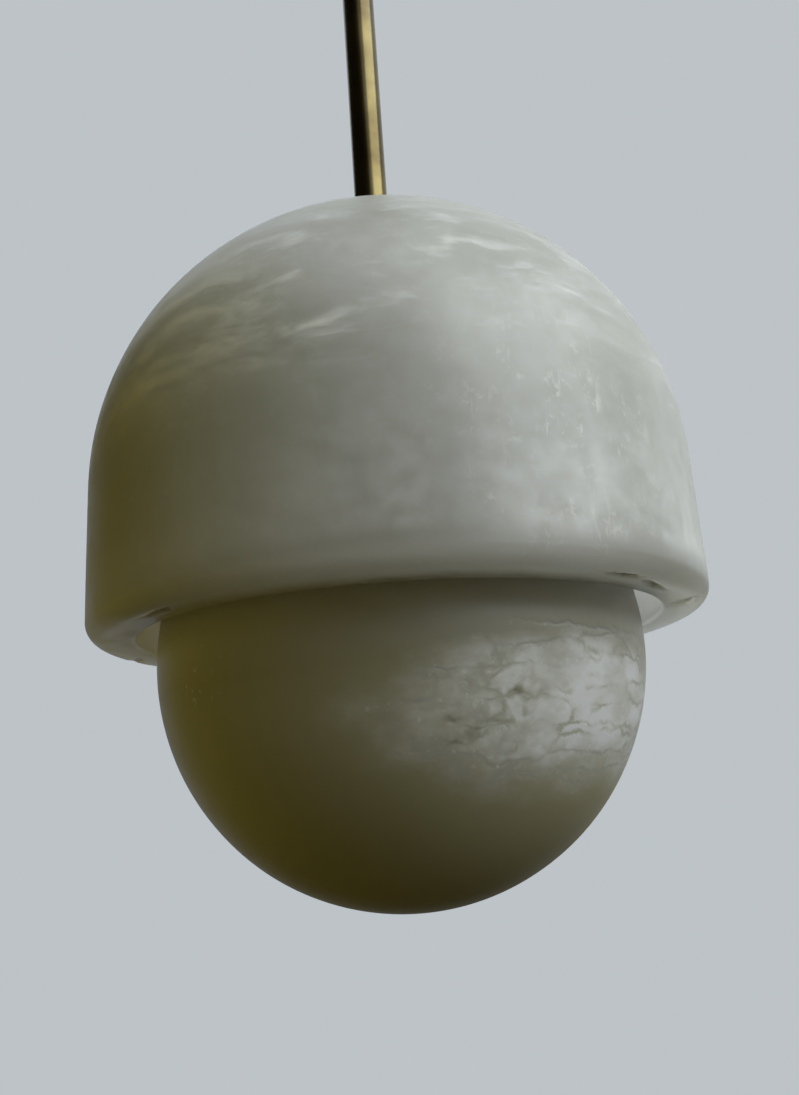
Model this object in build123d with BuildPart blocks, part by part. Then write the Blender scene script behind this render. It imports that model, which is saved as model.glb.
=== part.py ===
from build123d import *
import os
from math import cos, degrees, radians, sin, sqrt

# Pendant light: a turned alabaster dome over an alabaster globe, hung by a brass rod
# from a ball swivel in a ceiling canopy. Millimetres. The origin is the middle of the
# ceiling face of the bracket, Z points up and the lamp hangs down along -Z.

# Ceiling to the foot of the globe; the rod makes up the length
LAMP_HEIGHT = 525.0

# Ceiling canopy, a spun brass cup
CANOPY_DIAMETER = 110.0
CANOPY_HEIGHT = 38.0
CANOPY_WALL = 1.5
CANOPY_EDGE_ROUND = 4.0

# Steel strap bracket with two bent ears and a tongue for the terminal block
BRACKET_WIDTH = 24.0
BRACKET_THICKNESS = 2.0
BRACKET_EAR_DEPTH = 14.0
BRACKET_TONGUE_WIDTH = 22.0
CEILING_SLOT_SPACING = 64.0
CEILING_SLOT_LENGTH = 14.0
CEILING_SLOT_WIDTH = 5.0
CABLE_HOLE_DIAMETER = 12.0

# Thumb screws through the canopy's side into the bracket's ears
CANOPY_SCREW_DIAMETER = 4.0
CANOPY_SCREW_LENGTH = 10.0
CANOPY_SCREW_DEPTH = 8.0
CANOPY_SCREW_HEAD_DIAMETER = 9.0
CANOPY_SCREW_HEAD_LENGTH = 5.0
CANOPY_SCREW_FLUTES = 16
CANOPY_SCREW_FLUTE_DIAMETER = 1.0

# Ball swivel that lets the rod hang plumb, keyed by two dowel pins against turning
BALL_DIAMETER = 30.0
BALL_FLAT_HEIGHT = 8.5
SEAT_MOUTH_DIAMETER = 21.0
SEAT_LIP = 1.0
SEAT_LIP_FLARE = 1.3
SEAT_SPIGOT_DIAMETER = 28.0
SEAT_WALL = 4.1
SEAT_WALL_RISE = 7.5
SEAT_FLANGE_WIDTH = 2.5
SEAT_FLANGE_THICKNESS = 2.5
KEY_PIN_DIAMETER = 4.0
KEY_PIN_INSET = 7.0
KEY_PIN_REACH = 3.5
SWING_LIMIT = 15.0

# Brass rod, a tube threaded at both ends
ROD_DIAMETER = 10.0
ROD_BORE = 8.0
ROD_END = 2.0
ROD_CHAMFER = 0.5
NUT_ACROSS_FLATS = 14.0
NUT_HEIGHT = 5.0
NUT_CHAMFER = 0.6
WASHER_DIAMETER = 16.0
WASHER_THICKNESS = 1.0
WASHER_SPLIT = 1.2

# Alabaster shade: a straight skirt under a half sphere
SHADE_DIAMETER = 160.0
SHADE_SKIRT = 38.0
SHADE_WALL = 12.0
SHADE_RIM_ROUND = 4.5
SHADE_INNER_ROUND = 1.2
SHADE_SEAT_DIAMETER = 44.0
SEAT_MARGIN = 1.0
GASKET_THICKNESS = 2.0
PLATE_THICKNESS = 2.5

# Alabaster globe with a turned mouth
GLOBE_DIAMETER = 126.0
GLOBE_WALL = 11.0
GLOBE_DROP = 6.0
GLOBE_MOUTH_DIAMETER = 70.0
GLOBE_LIP_WIDTH = 11.0
GLOBE_LIP_ROUND = 1.5

# Bayonet ring cemented in the globe's mouth, and the gallery that carries it
RING_WALL = 2.0
RING_NECK_HEIGHT = 11.5
RING_SLEEVE_DEPTH = 6.0
RING_FLANGE_THICKNESS = 2.0
LUG_COUNT = 3
LUG_FIRST_ANGLE = 90.0
LUG_DIAMETER = 4.0
LUG_HEIGHT = 6.5
LUG_OVERLAP = 0.6
TWIST_ANGLE = 25.0
GALLERY_THICKNESS = 1.5
GALLERY_SLOT_FLOOR = 2.0
GALLERY_FLANGE = 1.5
RING_SEAL_THICKNESS = 2.0

# Lampholder on its bracket
BRACKET_STRAP = 1.2
HOLDER_BRACKET_WIDTH = 14.0
HOLDER_BRACKET_HEIGHT = 22.0
HOLDER_BRACKET_REACH = 16.0
HOLDER_BRACKET_TOE = 11.0
HOLDER_BRACKET_BEND = 2.5
HOLDER_DIAMETER = 20.0
HOLDER_HEIGHT = 16.0
HOLDER_CHAMFER = 1.0
HOLDER_LEAD_SPACING = 6.0
HOLDER_LEAD_DEPTH = 4.0
HOLDER_SCREW_SPACING = 14.8
HOLDER_SCREW_DIAMETER = 3.0
HOLDER_SCREW_HEAD_DIAMETER = 5.0
HOLDER_SCREW_HEAD_HEIGHT = 1.8
HOLDER_SCREW_DEPTH = 5.0
SCREW_SLOT_WIDTH = 0.8
SCREW_SLOT_DEPTH = 0.8

# Two-pin capsule bulb
BULB_PIN_SPACING = 9.0
BULB_PIN_WIDTH = 3.4
BULB_PIN_THICKNESS = 1.0
BULB_PIN_LENGTH = 8.0
BULB_BASE_DIAMETER = 16.0
BULB_BASE_LENGTH = 14.0
BULB_BASE_ROUND = 1.5
BULB_GLASS_DIAMETER = 17.0
BULB_GLASS_LENGTH = 28.0
BULB_GLASS_WALL = 1.0
BULB_BURNER_DIAMETER = 7.0
BULB_BURNER_LENGTH = 20.0

# Terminal block and wiring
BLOCK_LENGTH = 32.0
BLOCK_WIDTH = 17.0
BLOCK_HEIGHT = 13.0
BLOCK_ROUND = 1.5
BLOCK_PITCH = 10.0
BLOCK_DISTANCE = 22.0
BLOCK_SCREW_DIAMETER = 3.2
BLOCK_SCREW_LENGTH = 3.0
BLOCK_SCREW_DEPTH = 2.0
BLOCK_SCREW_SPACING = 9.5
BLOCK_BOLT_DIAMETER = 3.0
BLOCK_BOLT_HEAD_DIAMETER = 5.6
BLOCK_BOLT_HEAD_HEIGHT = 2.0
LEAD_DIAMETER = 2.2
LEAD_CIRCLE_DIAMETER = 4.0
LEAD_BEND = 4.0
LEAD_RISE = 4.6
LEAD_BLOCK_DEPTH = 4.5
EARTH_REACH = 19.0
EARTH_SCREW_DIAMETER = 4.0
EARTH_SCREW_HEAD_DIAMETER = 7.0
EARTH_SCREW_HEAD_HEIGHT = 2.5
EARTH_NUT_ACROSS_FLATS = 7.0
EARTH_NUT_HEIGHT = 3.0

# Fits
SWIVEL_CLEARANCE = 0.1
SEAT_WALL_CLEARANCE = 0.4
KEY_CLEARANCE = 0.15
THREAD_CLEARANCE = 0.05
SCREW_CLEARANCE = 0.2
SPIGOT_CLEARANCE = 0.1
ROD_HOLE_CLEARANCE = 0.3
CEMENT_GAP = 0.3
RING_CLEARANCE = 0.5
LUG_CLEARANCE = 0.3
SEAL_CLEARANCE = 0.3
EAR_CLEARANCE = 0.4
BULB_CLEARANCE = 0.3
LEAD_CLEARANCE = 0.2

# Heights that follow from the sizes above
rod_radius = ROD_DIAMETER / 2
ball_radius = BALL_DIAMETER / 2
canopy_inner = CANOPY_DIAMETER / 2 - CANOPY_WALL
canopy_floor = CANOPY_WALL - CANOPY_HEIGHT
seat_radius = ball_radius + SWIVEL_CLEARANCE
mouth_drop = sqrt(seat_radius**2 - (SEAT_MOUTH_DIAMETER / 2) ** 2)
seat_mouth_z = -CANOPY_HEIGHT - SEAT_LIP / 2
ball_z = seat_mouth_z + mouth_drop
ball_top = ball_z + BALL_FLAT_HEIGHT
rod_top = ball_top + WASHER_THICKNESS + NUT_HEIGHT + ROD_END
globe_radius = GLOBE_DIAMETER / 2
globe_z = globe_radius - LAMP_HEIGHT
rim_z = globe_z + GLOBE_DROP
dome_z = rim_z + SHADE_SKIRT
crown_z = dome_z + SHADE_DIAMETER / 2
shade_inner = SHADE_DIAMETER / 2 - SHADE_WALL
shade_seat_z = dome_z + sqrt(shade_inner**2 - (SHADE_SEAT_DIAMETER / 2) ** 2)
plate_radius = SHADE_SEAT_DIAMETER / 2 - SEAT_MARGIN
plate_z = shade_seat_z - GASKET_THICKNESS - PLATE_THICKNESS
globe_inner = globe_radius - GLOBE_WALL
mouth_radius = GLOBE_MOUTH_DIAMETER / 2
lip_radius = mouth_radius + GLOBE_LIP_WIDTH
lip_z = globe_z + sqrt(globe_radius**2 - lip_radius**2)
ring_outer = mouth_radius - CEMENT_GAP
ring_inner = ring_outer - RING_WALL
lug_z = lip_z + LUG_HEIGHT
skirt_outer = ring_inner - RING_CLEARANCE
skirt_inner = skirt_outer - GALLERY_THICKNESS
lug_inner = skirt_inner - LUG_OVERLAP
gallery_z = lip_z + RING_NECK_HEIGHT + SEAL_CLEARANCE + RING_SEAL_THICKNESS
gallery_radius = ring_outer + GALLERY_FLANGE
holder_bracket_z = gallery_z - BRACKET_STRAP
lower_nut_z = holder_bracket_z - WASHER_THICKNESS - NUT_HEIGHT
rod_bottom = lower_nut_z - ROD_END
holder_top = gallery_z - HOLDER_BRACKET_HEIGHT
holder_bottom = holder_top - HOLDER_HEIGHT
bulb_top = holder_bottom - BULB_CLEARANCE
lug_angles = [LUG_FIRST_ANGLE + 360 / LUG_COUNT * i for i in range(LUG_COUNT)]

os.makedirs("parts", exist_ok=True)


def radial_plane(angle, height):
    """Plane on the lamp's axis that faces outward at an angle round it."""
    outward = (cos(radians(angle)), sin(radians(angle)), 0)
    return Plane(origin=(0, 0, height), x_dir=(-outward[1], outward[0], 0), z_dir=outward)


def hand_in(piece, label):
    """Name a finished piece and write it to its file."""
    piece.part.label = label
    export_step(piece.part, f"parts/{label}.step")


# Ceiling bracket: pressed strap, slots for the ceiling screws, ears tapped for the canopy screws
ear_face = sqrt(canopy_inner**2 - (BRACKET_WIDTH / 2) ** 2) - EAR_CLEARANCE
tongue_end = BLOCK_DISTANCE + BLOCK_WIDTH
with BuildPart() as ceiling_bracket:
    with BuildSketch(Plane.XY.offset(-BRACKET_THICKNESS)):
        Rectangle(2 * ear_face, BRACKET_WIDTH)
        Rectangle(BRACKET_TONGUE_WIDTH, tongue_end, align=(Align.CENTER, Align.MIN))
        with GridLocations(CEILING_SLOT_SPACING, 0, 2, 1):
            SlotOverall(CEILING_SLOT_LENGTH, CEILING_SLOT_WIDTH, mode=Mode.SUBTRACT)
        Circle(CABLE_HOLE_DIAMETER / 2, mode=Mode.SUBTRACT)
        with Locations((0, BLOCK_DISTANCE + BLOCK_WIDTH / 2)):
            Circle(BLOCK_BOLT_DIAMETER / 2 + THREAD_CLEARANCE, mode=Mode.SUBTRACT)
    extrude(amount=BRACKET_THICKNESS)
    with BuildSketch(Plane.XY.offset(-BRACKET_EAR_DEPTH)):
        with GridLocations(2 * ear_face - BRACKET_THICKNESS, 0, 2, 1):
            Rectangle(BRACKET_THICKNESS, BRACKET_WIDTH)
    extrude(amount=BRACKET_EAR_DEPTH)
    ends = ceiling_bracket.edges().filter_by(Axis.Y).group_by(Axis.Z)[-1].sort_by(Axis.X)
    fillet([ends[0], ends[-1]], BRACKET_THICKNESS)
    with BuildSketch(Plane.YZ):
        with Locations((0, -CANOPY_SCREW_DEPTH)):
            Circle(CANOPY_SCREW_DIAMETER / 2 + THREAD_CLEARANCE)
    extrude(amount=ear_face, both=True, mode=Mode.SUBTRACT)
hand_in(ceiling_bracket, "ceiling_bracket")

# Canopy: spun cup, open to the ceiling, with a hole in its floor for the ball seat
with BuildPart() as canopy:
    with BuildSketch(Plane.XZ):
        with BuildLine():
            Polyline(
                (CANOPY_DIAMETER / 2, 0),
                (CANOPY_DIAMETER / 2, -CANOPY_HEIGHT),
                (SEAT_SPIGOT_DIAMETER / 2 + SPIGOT_CLEARANCE, -CANOPY_HEIGHT),
                (SEAT_SPIGOT_DIAMETER / 2 + SPIGOT_CLEARANCE, canopy_floor),
                (canopy_inner, canopy_floor),
                (canopy_inner, 0),
                close=True,
            )
        make_face()
    revolve(axis=Axis.Z)
    levels = canopy.edges().filter_by(GeomType.CIRCLE).group_by(Axis.Z)
    fillet(levels[0].sort_by(SortBy.RADIUS)[-1], CANOPY_EDGE_ROUND)
    floor_edge = canopy.edges().filter_by_position(Axis.Z, canopy_floor, canopy_floor)
    fillet(floor_edge.sort_by(SortBy.RADIUS)[-1], CANOPY_EDGE_ROUND - CANOPY_WALL)
    with BuildSketch(Plane.YZ):
        with Locations((0, -CANOPY_SCREW_DEPTH)):
            Circle(CANOPY_SCREW_DIAMETER / 2 + SCREW_CLEARANCE)
    extrude(amount=CANOPY_DIAMETER, both=True, mode=Mode.SUBTRACT)
hand_in(canopy, "canopy")

# Canopy screws: brass thumb screws with fluted heads
with BuildPart() as canopy_screws:
    for side in (0, 180):
        axis_plane = radial_plane(side, -CANOPY_SCREW_DEPTH)
        with BuildSketch(axis_plane.offset(CANOPY_DIAMETER / 2)):
            Circle(CANOPY_SCREW_HEAD_DIAMETER / 2)
            with PolarLocations(CANOPY_SCREW_HEAD_DIAMETER / 2, CANOPY_SCREW_FLUTES):
                Circle(CANOPY_SCREW_FLUTE_DIAMETER / 2, mode=Mode.SUBTRACT)
        extrude(amount=CANOPY_SCREW_HEAD_LENGTH)
        with BuildSketch(axis_plane.offset(CANOPY_DIAMETER / 2 - CANOPY_SCREW_LENGTH)):
            Circle(CANOPY_SCREW_DIAMETER / 2)
        extrude(amount=CANOPY_SCREW_LENGTH)
hand_in(canopy_screws, "canopy_screws")

# Ball seat: turned collar in the canopy's floor, a spherical cup with two key slots in its wall
seat_wall_inner = ball_radius + SEAT_WALL_CLEARANCE
seat_wall_outer = seat_wall_inner + SEAT_WALL
seat_flange_z = canopy_floor + SEAT_FLANGE_THICKNESS
key_radius = ball_radius + KEY_PIN_REACH
key_drop = key_radius * sin(radians(SWING_LIMIT)) + KEY_PIN_DIAMETER / 2 + KEY_CLEARANCE
with BuildPart() as ball_seat:
    with BuildSketch(Plane.XZ):
        with BuildLine():
            mouth = (SEAT_MOUTH_DIAMETER / 2, seat_mouth_z)
            waist = (seat_radius, ball_z)
            halfway = (seat_radius * cos(radians(30)), ball_z - seat_radius * sin(radians(30)))
            ThreePointArc(mouth, halfway, waist)
            Polyline(
                waist,
                (seat_wall_inner, ball_z),
                (seat_wall_inner, ball_z + SEAT_WALL_RISE),
                (seat_wall_outer, ball_z + SEAT_WALL_RISE),
                (seat_wall_outer, seat_flange_z),
                (seat_wall_outer + SEAT_FLANGE_WIDTH, seat_flange_z),
                (seat_wall_outer + SEAT_FLANGE_WIDTH, canopy_floor),
                (SEAT_SPIGOT_DIAMETER / 2, canopy_floor),
                (SEAT_SPIGOT_DIAMETER / 2, seat_mouth_z - SEAT_LIP),
                (SEAT_MOUTH_DIAMETER / 2 + SEAT_LIP_FLARE, seat_mouth_z - SEAT_LIP),
                mouth,
            )
        make_face()
    revolve(axis=Axis.Z)
    with BuildSketch(Plane.XY.offset(ball_z - key_drop)):
        Rectangle(2 * (seat_wall_outer + SEAT_FLANGE_WIDTH), KEY_PIN_DIAMETER + 2 * KEY_CLEARANCE)
        Circle(ball_radius - KEY_PIN_REACH, mode=Mode.SUBTRACT)
    extrude(amount=key_drop + SEAT_WALL_RISE, mode=Mode.SUBTRACT)
hand_in(ball_seat, "ball_seat")

# Key pins: dowels that sit in the ball and run in the slots of the seat
with BuildPart() as key_pins:
    for side in (0, 180):
        with BuildSketch(radial_plane(side, ball_z).offset(KEY_PIN_INSET + KEY_CLEARANCE)):
            Circle(KEY_PIN_DIAMETER / 2)
        extrude(amount=key_radius - KEY_PIN_INSET - KEY_CLEARANCE)
hand_in(key_pins, "key_pins")

# Swivel ball: turned brass, flat on top under the nut
with BuildPart() as swivel_ball:
    with Locations((0, 0, ball_z)):
        Sphere(ball_radius)
    split(bisect_by=Plane.XY.offset(ball_top), keep=Keep.BOTTOM)
    with Locations((0, 0, ball_top)):
        Hole(rod_radius + THREAD_CLEARANCE)
    for side in (0, 180):
        with BuildSketch(radial_plane(side, ball_z).offset(KEY_PIN_INSET)):
            Circle(KEY_PIN_DIAMETER / 2 + THREAD_CLEARANCE)
        extrude(amount=ball_radius, mode=Mode.SUBTRACT)
hand_in(swivel_ball, "swivel_ball")

# Rod: drawn brass tube from the ball down to the gallery
with BuildPart() as rod:
    with BuildSketch(Plane.XY.offset(rod_bottom)):
        Circle(rod_radius)
        Circle(ROD_BORE / 2, mode=Mode.SUBTRACT)
    extrude(amount=rod_top - rod_bottom)
    chamfer(rod.edges().filter_by(GeomType.CIRCLE).sort_by(SortBy.RADIUS)[-2:], ROD_CHAMFER)
hand_in(rod, "rod")

# Rod nut: hexagon with the corners turned off on both faces
nut_flat = NUT_ACROSS_FLATS / 2
nut_corner = NUT_ACROSS_FLATS / sqrt(3)
with BuildPart() as nut_blank:
    with BuildSketch():
        RegularPolygon(nut_flat, 6, major_radius=False)
        Circle(rod_radius + THREAD_CLEARANCE, mode=Mode.SUBTRACT)
    extrude(amount=NUT_HEIGHT)
    with BuildSketch(Plane.XZ):
        with BuildLine():
            Polyline(
                (0, 0),
                (nut_flat, 0),
                (nut_corner, NUT_CHAMFER),
                (nut_corner, NUT_HEIGHT - NUT_CHAMFER),
                (nut_flat, NUT_HEIGHT),
                (0, NUT_HEIGHT),
                close=True,
            )
        make_face()
    revolve(axis=Axis.Z, mode=Mode.INTERSECT)

# Nuts on the rod: over the ball, under the shade and on both sides of the gallery
nut_levels = (
    ball_top + WASHER_THICKNESS,
    plate_z - WASHER_THICKNESS - NUT_HEIGHT,
    gallery_z + GALLERY_THICKNESS,
    lower_nut_z,
)
with BuildPart() as rod_nuts:
    with Locations(*[(0, 0, level) for level in nut_levels]):
        add(nut_blank.part)
hand_in(rod_nuts, "rod_nuts")

# Split washers under the nuts that carry weight
with BuildPart() as spring_washers:
    for level in (ball_top, plate_z - WASHER_THICKNESS, holder_bracket_z - WASHER_THICKNESS):
        with BuildSketch(Plane.XY.offset(level)):
            Circle(WASHER_DIAMETER / 2)
            Circle(rod_radius + SCREW_CLEARANCE, mode=Mode.SUBTRACT)
            Rectangle(
                WASHER_DIAMETER, WASHER_SPLIT, align=(Align.MIN, Align.CENTER), mode=Mode.SUBTRACT
            )
        extrude(amount=WASHER_THICKNESS)
hand_in(spring_washers, "spring_washers")

# Shade: alabaster turned inside and out, a flat seat inside the crown and a rounded rim
with BuildPart() as shade:
    with BuildSketch(Plane.XZ):
        with BuildLine():
            shoulder = (SHADE_DIAMETER / 2, dome_z)
            crown = (0, crown_z)
            RadiusArc(shoulder, crown, -SHADE_DIAMETER / 2)
            Polyline(crown, (0, shade_seat_z), (SHADE_SEAT_DIAMETER / 2, shade_seat_z))
            RadiusArc((SHADE_SEAT_DIAMETER / 2, shade_seat_z), (shade_inner, dome_z), shade_inner)
            Polyline(
                (shade_inner, dome_z), (shade_inner, rim_z), (SHADE_DIAMETER / 2, rim_z), shoulder
            )
        make_face()
    revolve(axis=Axis.Z)
    rim = shade.edges().filter_by(GeomType.CIRCLE).group_by(Axis.Z)[0].sort_by(SortBy.RADIUS)
    fillet(rim[-1], SHADE_RIM_ROUND)
    fillet(rim[0], SHADE_INNER_ROUND)
    with Locations((0, 0, crown_z)):
        Hole(rod_radius + ROD_HOLE_CLEARANCE)
hand_in(shade, "shade")

# Shade gasket: soft washer between the stone and the steel plate
with BuildPart() as shade_gasket:
    with BuildSketch(Plane.XY.offset(plate_z + PLATE_THICKNESS)):
        Circle(plate_radius)
        Circle(rod_radius + ROD_HOLE_CLEARANCE, mode=Mode.SUBTRACT)
    extrude(amount=GASKET_THICKNESS)
hand_in(shade_gasket, "shade_gasket")

# Support plate: steel disc that carries the shade
with BuildPart() as support_plate:
    with BuildSketch(Plane.XY.offset(plate_z)):
        Circle(plate_radius)
        Circle(rod_radius + SCREW_CLEARANCE, mode=Mode.SUBTRACT)
    extrude(amount=PLATE_THICKNESS)
hand_in(support_plate, "support_plate")

# Bayonet slot: an upright way in from below, then a level run to the locked place
lug_radius = LUG_DIAMETER / 2
slot_half = lug_radius + LUG_CLEARANCE
slot_half_angle = degrees(slot_half / skirt_inner)
skirt_bottom = lug_z - slot_half - GALLERY_SLOT_FLOOR
with BuildPart() as bayonet_slot:
    with BuildSketch(radial_plane(LUG_FIRST_ANGLE - TWIST_ANGLE - slot_half_angle - 90, 0)):
        with Locations((skirt_inner - LUG_OVERLAP, lug_z)):
            Rectangle(gallery_radius, 2 * slot_half, align=(Align.MIN, Align.CENTER))
    revolve(axis=Axis.Z, revolution_arc=TWIST_ANGLE + 2 * slot_half_angle)
    with BuildSketch(radial_plane(LUG_FIRST_ANGLE - TWIST_ANGLE, 0).offset(skirt_inner - LUG_OVERLAP)):
        with Locations((0, lug_z + slot_half)):
            Rectangle(2 * slot_half, RING_NECK_HEIGHT + RING_SLEEVE_DEPTH, align=(Align.CENTER, Align.MAX))
    extrude(amount=gallery_radius)

# Gallery: pressed steel cup on the rod's end whose skirt holds the globe's lugs
with BuildPart() as gallery:
    with BuildSketch(Plane.XY.offset(skirt_bottom)):
        Circle(skirt_outer)
        Circle(skirt_inner, mode=Mode.SUBTRACT)
    extrude(amount=gallery_z - skirt_bottom)
    with PolarLocations(0, LUG_COUNT):
        add(bayonet_slot.part, mode=Mode.SUBTRACT)
    with BuildSketch(Plane.XY.offset(gallery_z)):
        Circle(gallery_radius)
        Circle(rod_radius + SCREW_CLEARANCE, mode=Mode.SUBTRACT)
        with Locations((0, EARTH_REACH)):
            Circle(EARTH_SCREW_DIAMETER / 2 + SCREW_CLEARANCE, mode=Mode.SUBTRACT)
    extrude(amount=GALLERY_THICKNESS)
hand_in(gallery, "gallery")

# Ring seal: silicone ring under the gallery that steadies the globe's neck
with BuildPart() as ring_seal:
    with BuildSketch(Plane.XY.offset(gallery_z - RING_SEAL_THICKNESS)):
        Circle(ring_outer)
        Circle(skirt_outer + LEAD_CLEARANCE, mode=Mode.SUBTRACT)
    extrude(amount=RING_SEAL_THICKNESS)
hand_in(ring_seal, "ring_seal")

# Holder bracket: steel strap bent to a C, clamped under the gallery
with BuildPart() as holder_bracket:
    with BuildSketch(Plane.XZ):
        with BuildLine():
            FilletPolyline(
                (HOLDER_BRACKET_TOE, gallery_z - BRACKET_STRAP / 2),
                (-HOLDER_BRACKET_REACH, gallery_z - BRACKET_STRAP / 2),
                (-HOLDER_BRACKET_REACH, holder_top + BRACKET_STRAP / 2),
                (HOLDER_BRACKET_TOE, holder_top + BRACKET_STRAP / 2),
                radius=HOLDER_BRACKET_BEND,
            )
        trace(line_width=BRACKET_STRAP)
    extrude(amount=HOLDER_BRACKET_WIDTH / 2, both=True)
    with BuildSketch(Plane.XY.offset(holder_bracket_z)):
        Circle(rod_radius + SCREW_CLEARANCE)
    extrude(amount=BRACKET_STRAP, mode=Mode.SUBTRACT)
    with BuildSketch(Plane.XY.offset(holder_top)):
        SlotOverall(HOLDER_LEAD_SPACING + 2 * LEAD_DIAMETER, 2 * LEAD_DIAMETER)
        with GridLocations(HOLDER_SCREW_SPACING, 0, 2, 1):
            Circle(HOLDER_SCREW_DIAMETER / 2 + SCREW_CLEARANCE)
    extrude(amount=BRACKET_STRAP, mode=Mode.SUBTRACT)
hand_in(holder_bracket, "holder_bracket")

# Lampholder: ceramic body with lead holes on top and two pin slots below
with BuildPart() as lampholder:
    with BuildSketch(Plane.XY.offset(holder_bottom)):
        Circle(HOLDER_DIAMETER / 2)
    extrude(amount=HOLDER_HEIGHT)
    chamfer(lampholder.edges().group_by(Axis.Z)[0], HOLDER_CHAMFER)
    with BuildSketch(Plane.XY.offset(holder_top - HOLDER_LEAD_DEPTH)):
        with GridLocations(HOLDER_LEAD_SPACING, 0, 2, 1):
            Circle(LEAD_DIAMETER / 2 + LEAD_CLEARANCE)
    extrude(amount=HOLDER_LEAD_DEPTH, mode=Mode.SUBTRACT)
    with BuildSketch(Plane.XY.offset(holder_top - HOLDER_SCREW_DEPTH)):
        with GridLocations(HOLDER_SCREW_SPACING, 0, 2, 1):
            Circle(HOLDER_SCREW_DIAMETER / 2 + THREAD_CLEARANCE)
    extrude(amount=HOLDER_SCREW_DEPTH, mode=Mode.SUBTRACT)
    with BuildSketch(Plane.XY.offset(holder_bottom)):
        with GridLocations(BULB_PIN_SPACING, 0, 2, 1):
            Rectangle(BULB_PIN_THICKNESS + 2 * BULB_CLEARANCE, BULB_PIN_WIDTH + 2 * BULB_CLEARANCE)
    extrude(amount=BULB_PIN_LENGTH + BULB_CLEARANCE, mode=Mode.SUBTRACT)
hand_in(lampholder, "lampholder")

# Holder screws: slotted screws through the bracket into the ceramic
with BuildPart() as holder_screws:
    with BuildSketch(Plane.XY.offset(holder_top - HOLDER_SCREW_DEPTH)):
        with GridLocations(HOLDER_SCREW_SPACING, 0, 2, 1):
            Circle(HOLDER_SCREW_DIAMETER / 2)
    extrude(amount=HOLDER_SCREW_DEPTH + BRACKET_STRAP)
    with BuildSketch(Plane.XY.offset(holder_top + BRACKET_STRAP)):
        with GridLocations(HOLDER_SCREW_SPACING, 0, 2, 1):
            Circle(HOLDER_SCREW_HEAD_DIAMETER / 2)
    extrude(amount=HOLDER_SCREW_HEAD_HEIGHT)
    with BuildSketch(Plane.XY.offset(holder_top + BRACKET_STRAP + HOLDER_SCREW_HEAD_HEIGHT)):
        with GridLocations(HOLDER_SCREW_SPACING, 0, 2, 1):
            Rectangle(SCREW_SLOT_WIDTH, HOLDER_SCREW_HEAD_DIAMETER)
    extrude(amount=-SCREW_SLOT_DEPTH, mode=Mode.SUBTRACT)
hand_in(holder_screws, "holder_screws")

# Earth screw: clamps the earth lead to the gallery
with BuildPart() as earth_screw:
    with BuildSketch(Plane.XY.offset(gallery_z - EARTH_SCREW_HEAD_HEIGHT)):
        with Locations((0, EARTH_REACH)):
            Circle(EARTH_SCREW_HEAD_DIAMETER / 2)
    extrude(amount=EARTH_SCREW_HEAD_HEIGHT)
    with BuildSketch(Plane.XY.offset(gallery_z)):
        with Locations((0, EARTH_REACH)):
            Circle(EARTH_SCREW_DIAMETER / 2)
    extrude(amount=GALLERY_THICKNESS + EARTH_NUT_HEIGHT + ROD_END)
hand_in(earth_screw, "earth_screw")

# Earth nut: holds the earth screw above the gallery
with BuildPart() as earth_nut:
    with BuildSketch(Plane.XY.offset(gallery_z + GALLERY_THICKNESS)):
        with Locations((0, EARTH_REACH)):
            RegularPolygon(EARTH_NUT_ACROSS_FLATS / 2, 6, major_radius=False)
            Circle(EARTH_SCREW_DIAMETER / 2 + THREAD_CLEARANCE, mode=Mode.SUBTRACT)
    extrude(amount=EARTH_NUT_HEIGHT)
hand_in(earth_nut, "earth_nut")

# Globe: hollow alabaster ball with a turned lip and mouth
with BuildPart() as globe:
    with BuildSketch(Plane.XZ):
        with BuildLine():
            foot = (0, globe_z - globe_radius)
            lip = (lip_radius, lip_z)
            throat_z = globe_z + sqrt(globe_inner**2 - mouth_radius**2)
            ThreePointArc(foot, (globe_radius, globe_z), lip)
            Polyline(lip, (mouth_radius, lip_z), (mouth_radius, throat_z))
            ThreePointArc(
                (mouth_radius, throat_z), (globe_inner, globe_z), (0, globe_z - globe_inner)
            )
            Line((0, globe_z - globe_inner), foot)
        make_face()
    revolve(axis=Axis.Z)
    lip_edges = globe.edges().filter_by(GeomType.CIRCLE).group_by(Axis.Z)[-1]
    fillet(lip_edges.sort_by(SortBy.RADIUS)[-1], GLOBE_LIP_ROUND)
hand_in(globe, "globe")

# Bayonet ring: turned brass, sleeve cemented in the mouth and a flange on the lip
with BuildPart() as bayonet_ring:
    with BuildSketch(Plane.XZ):
        with BuildLine():
            Polyline(
                (ring_inner, lip_z - RING_SLEEVE_DEPTH),
                (ring_outer, lip_z - RING_SLEEVE_DEPTH),
                (ring_outer, lip_z),
                (lip_radius - GLOBE_LIP_ROUND, lip_z),
                (lip_radius - GLOBE_LIP_ROUND, lip_z + RING_FLANGE_THICKNESS),
                (ring_outer, lip_z + RING_FLANGE_THICKNESS),
                (ring_outer, lip_z + RING_NECK_HEIGHT),
                (ring_inner, lip_z + RING_NECK_HEIGHT),
                close=True,
            )
        make_face()
    revolve(axis=Axis.Z)
    for angle in lug_angles:
        with BuildSketch(radial_plane(angle, lug_z)):
            Circle(lug_radius + THREAD_CLEARANCE)
        extrude(amount=lip_radius, mode=Mode.SUBTRACT)
hand_in(bayonet_ring, "bayonet_ring")

# Bayonet lugs: pins pressed in the ring, pointing in to the gallery's slots
with BuildPart() as bayonet_lugs:
    for angle in lug_angles:
        with BuildSketch(radial_plane(angle, lug_z).offset(lug_inner)):
            Circle(lug_radius)
        extrude(amount=ring_outer - lug_inner)
hand_in(bayonet_lugs, "bayonet_lugs")

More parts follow.
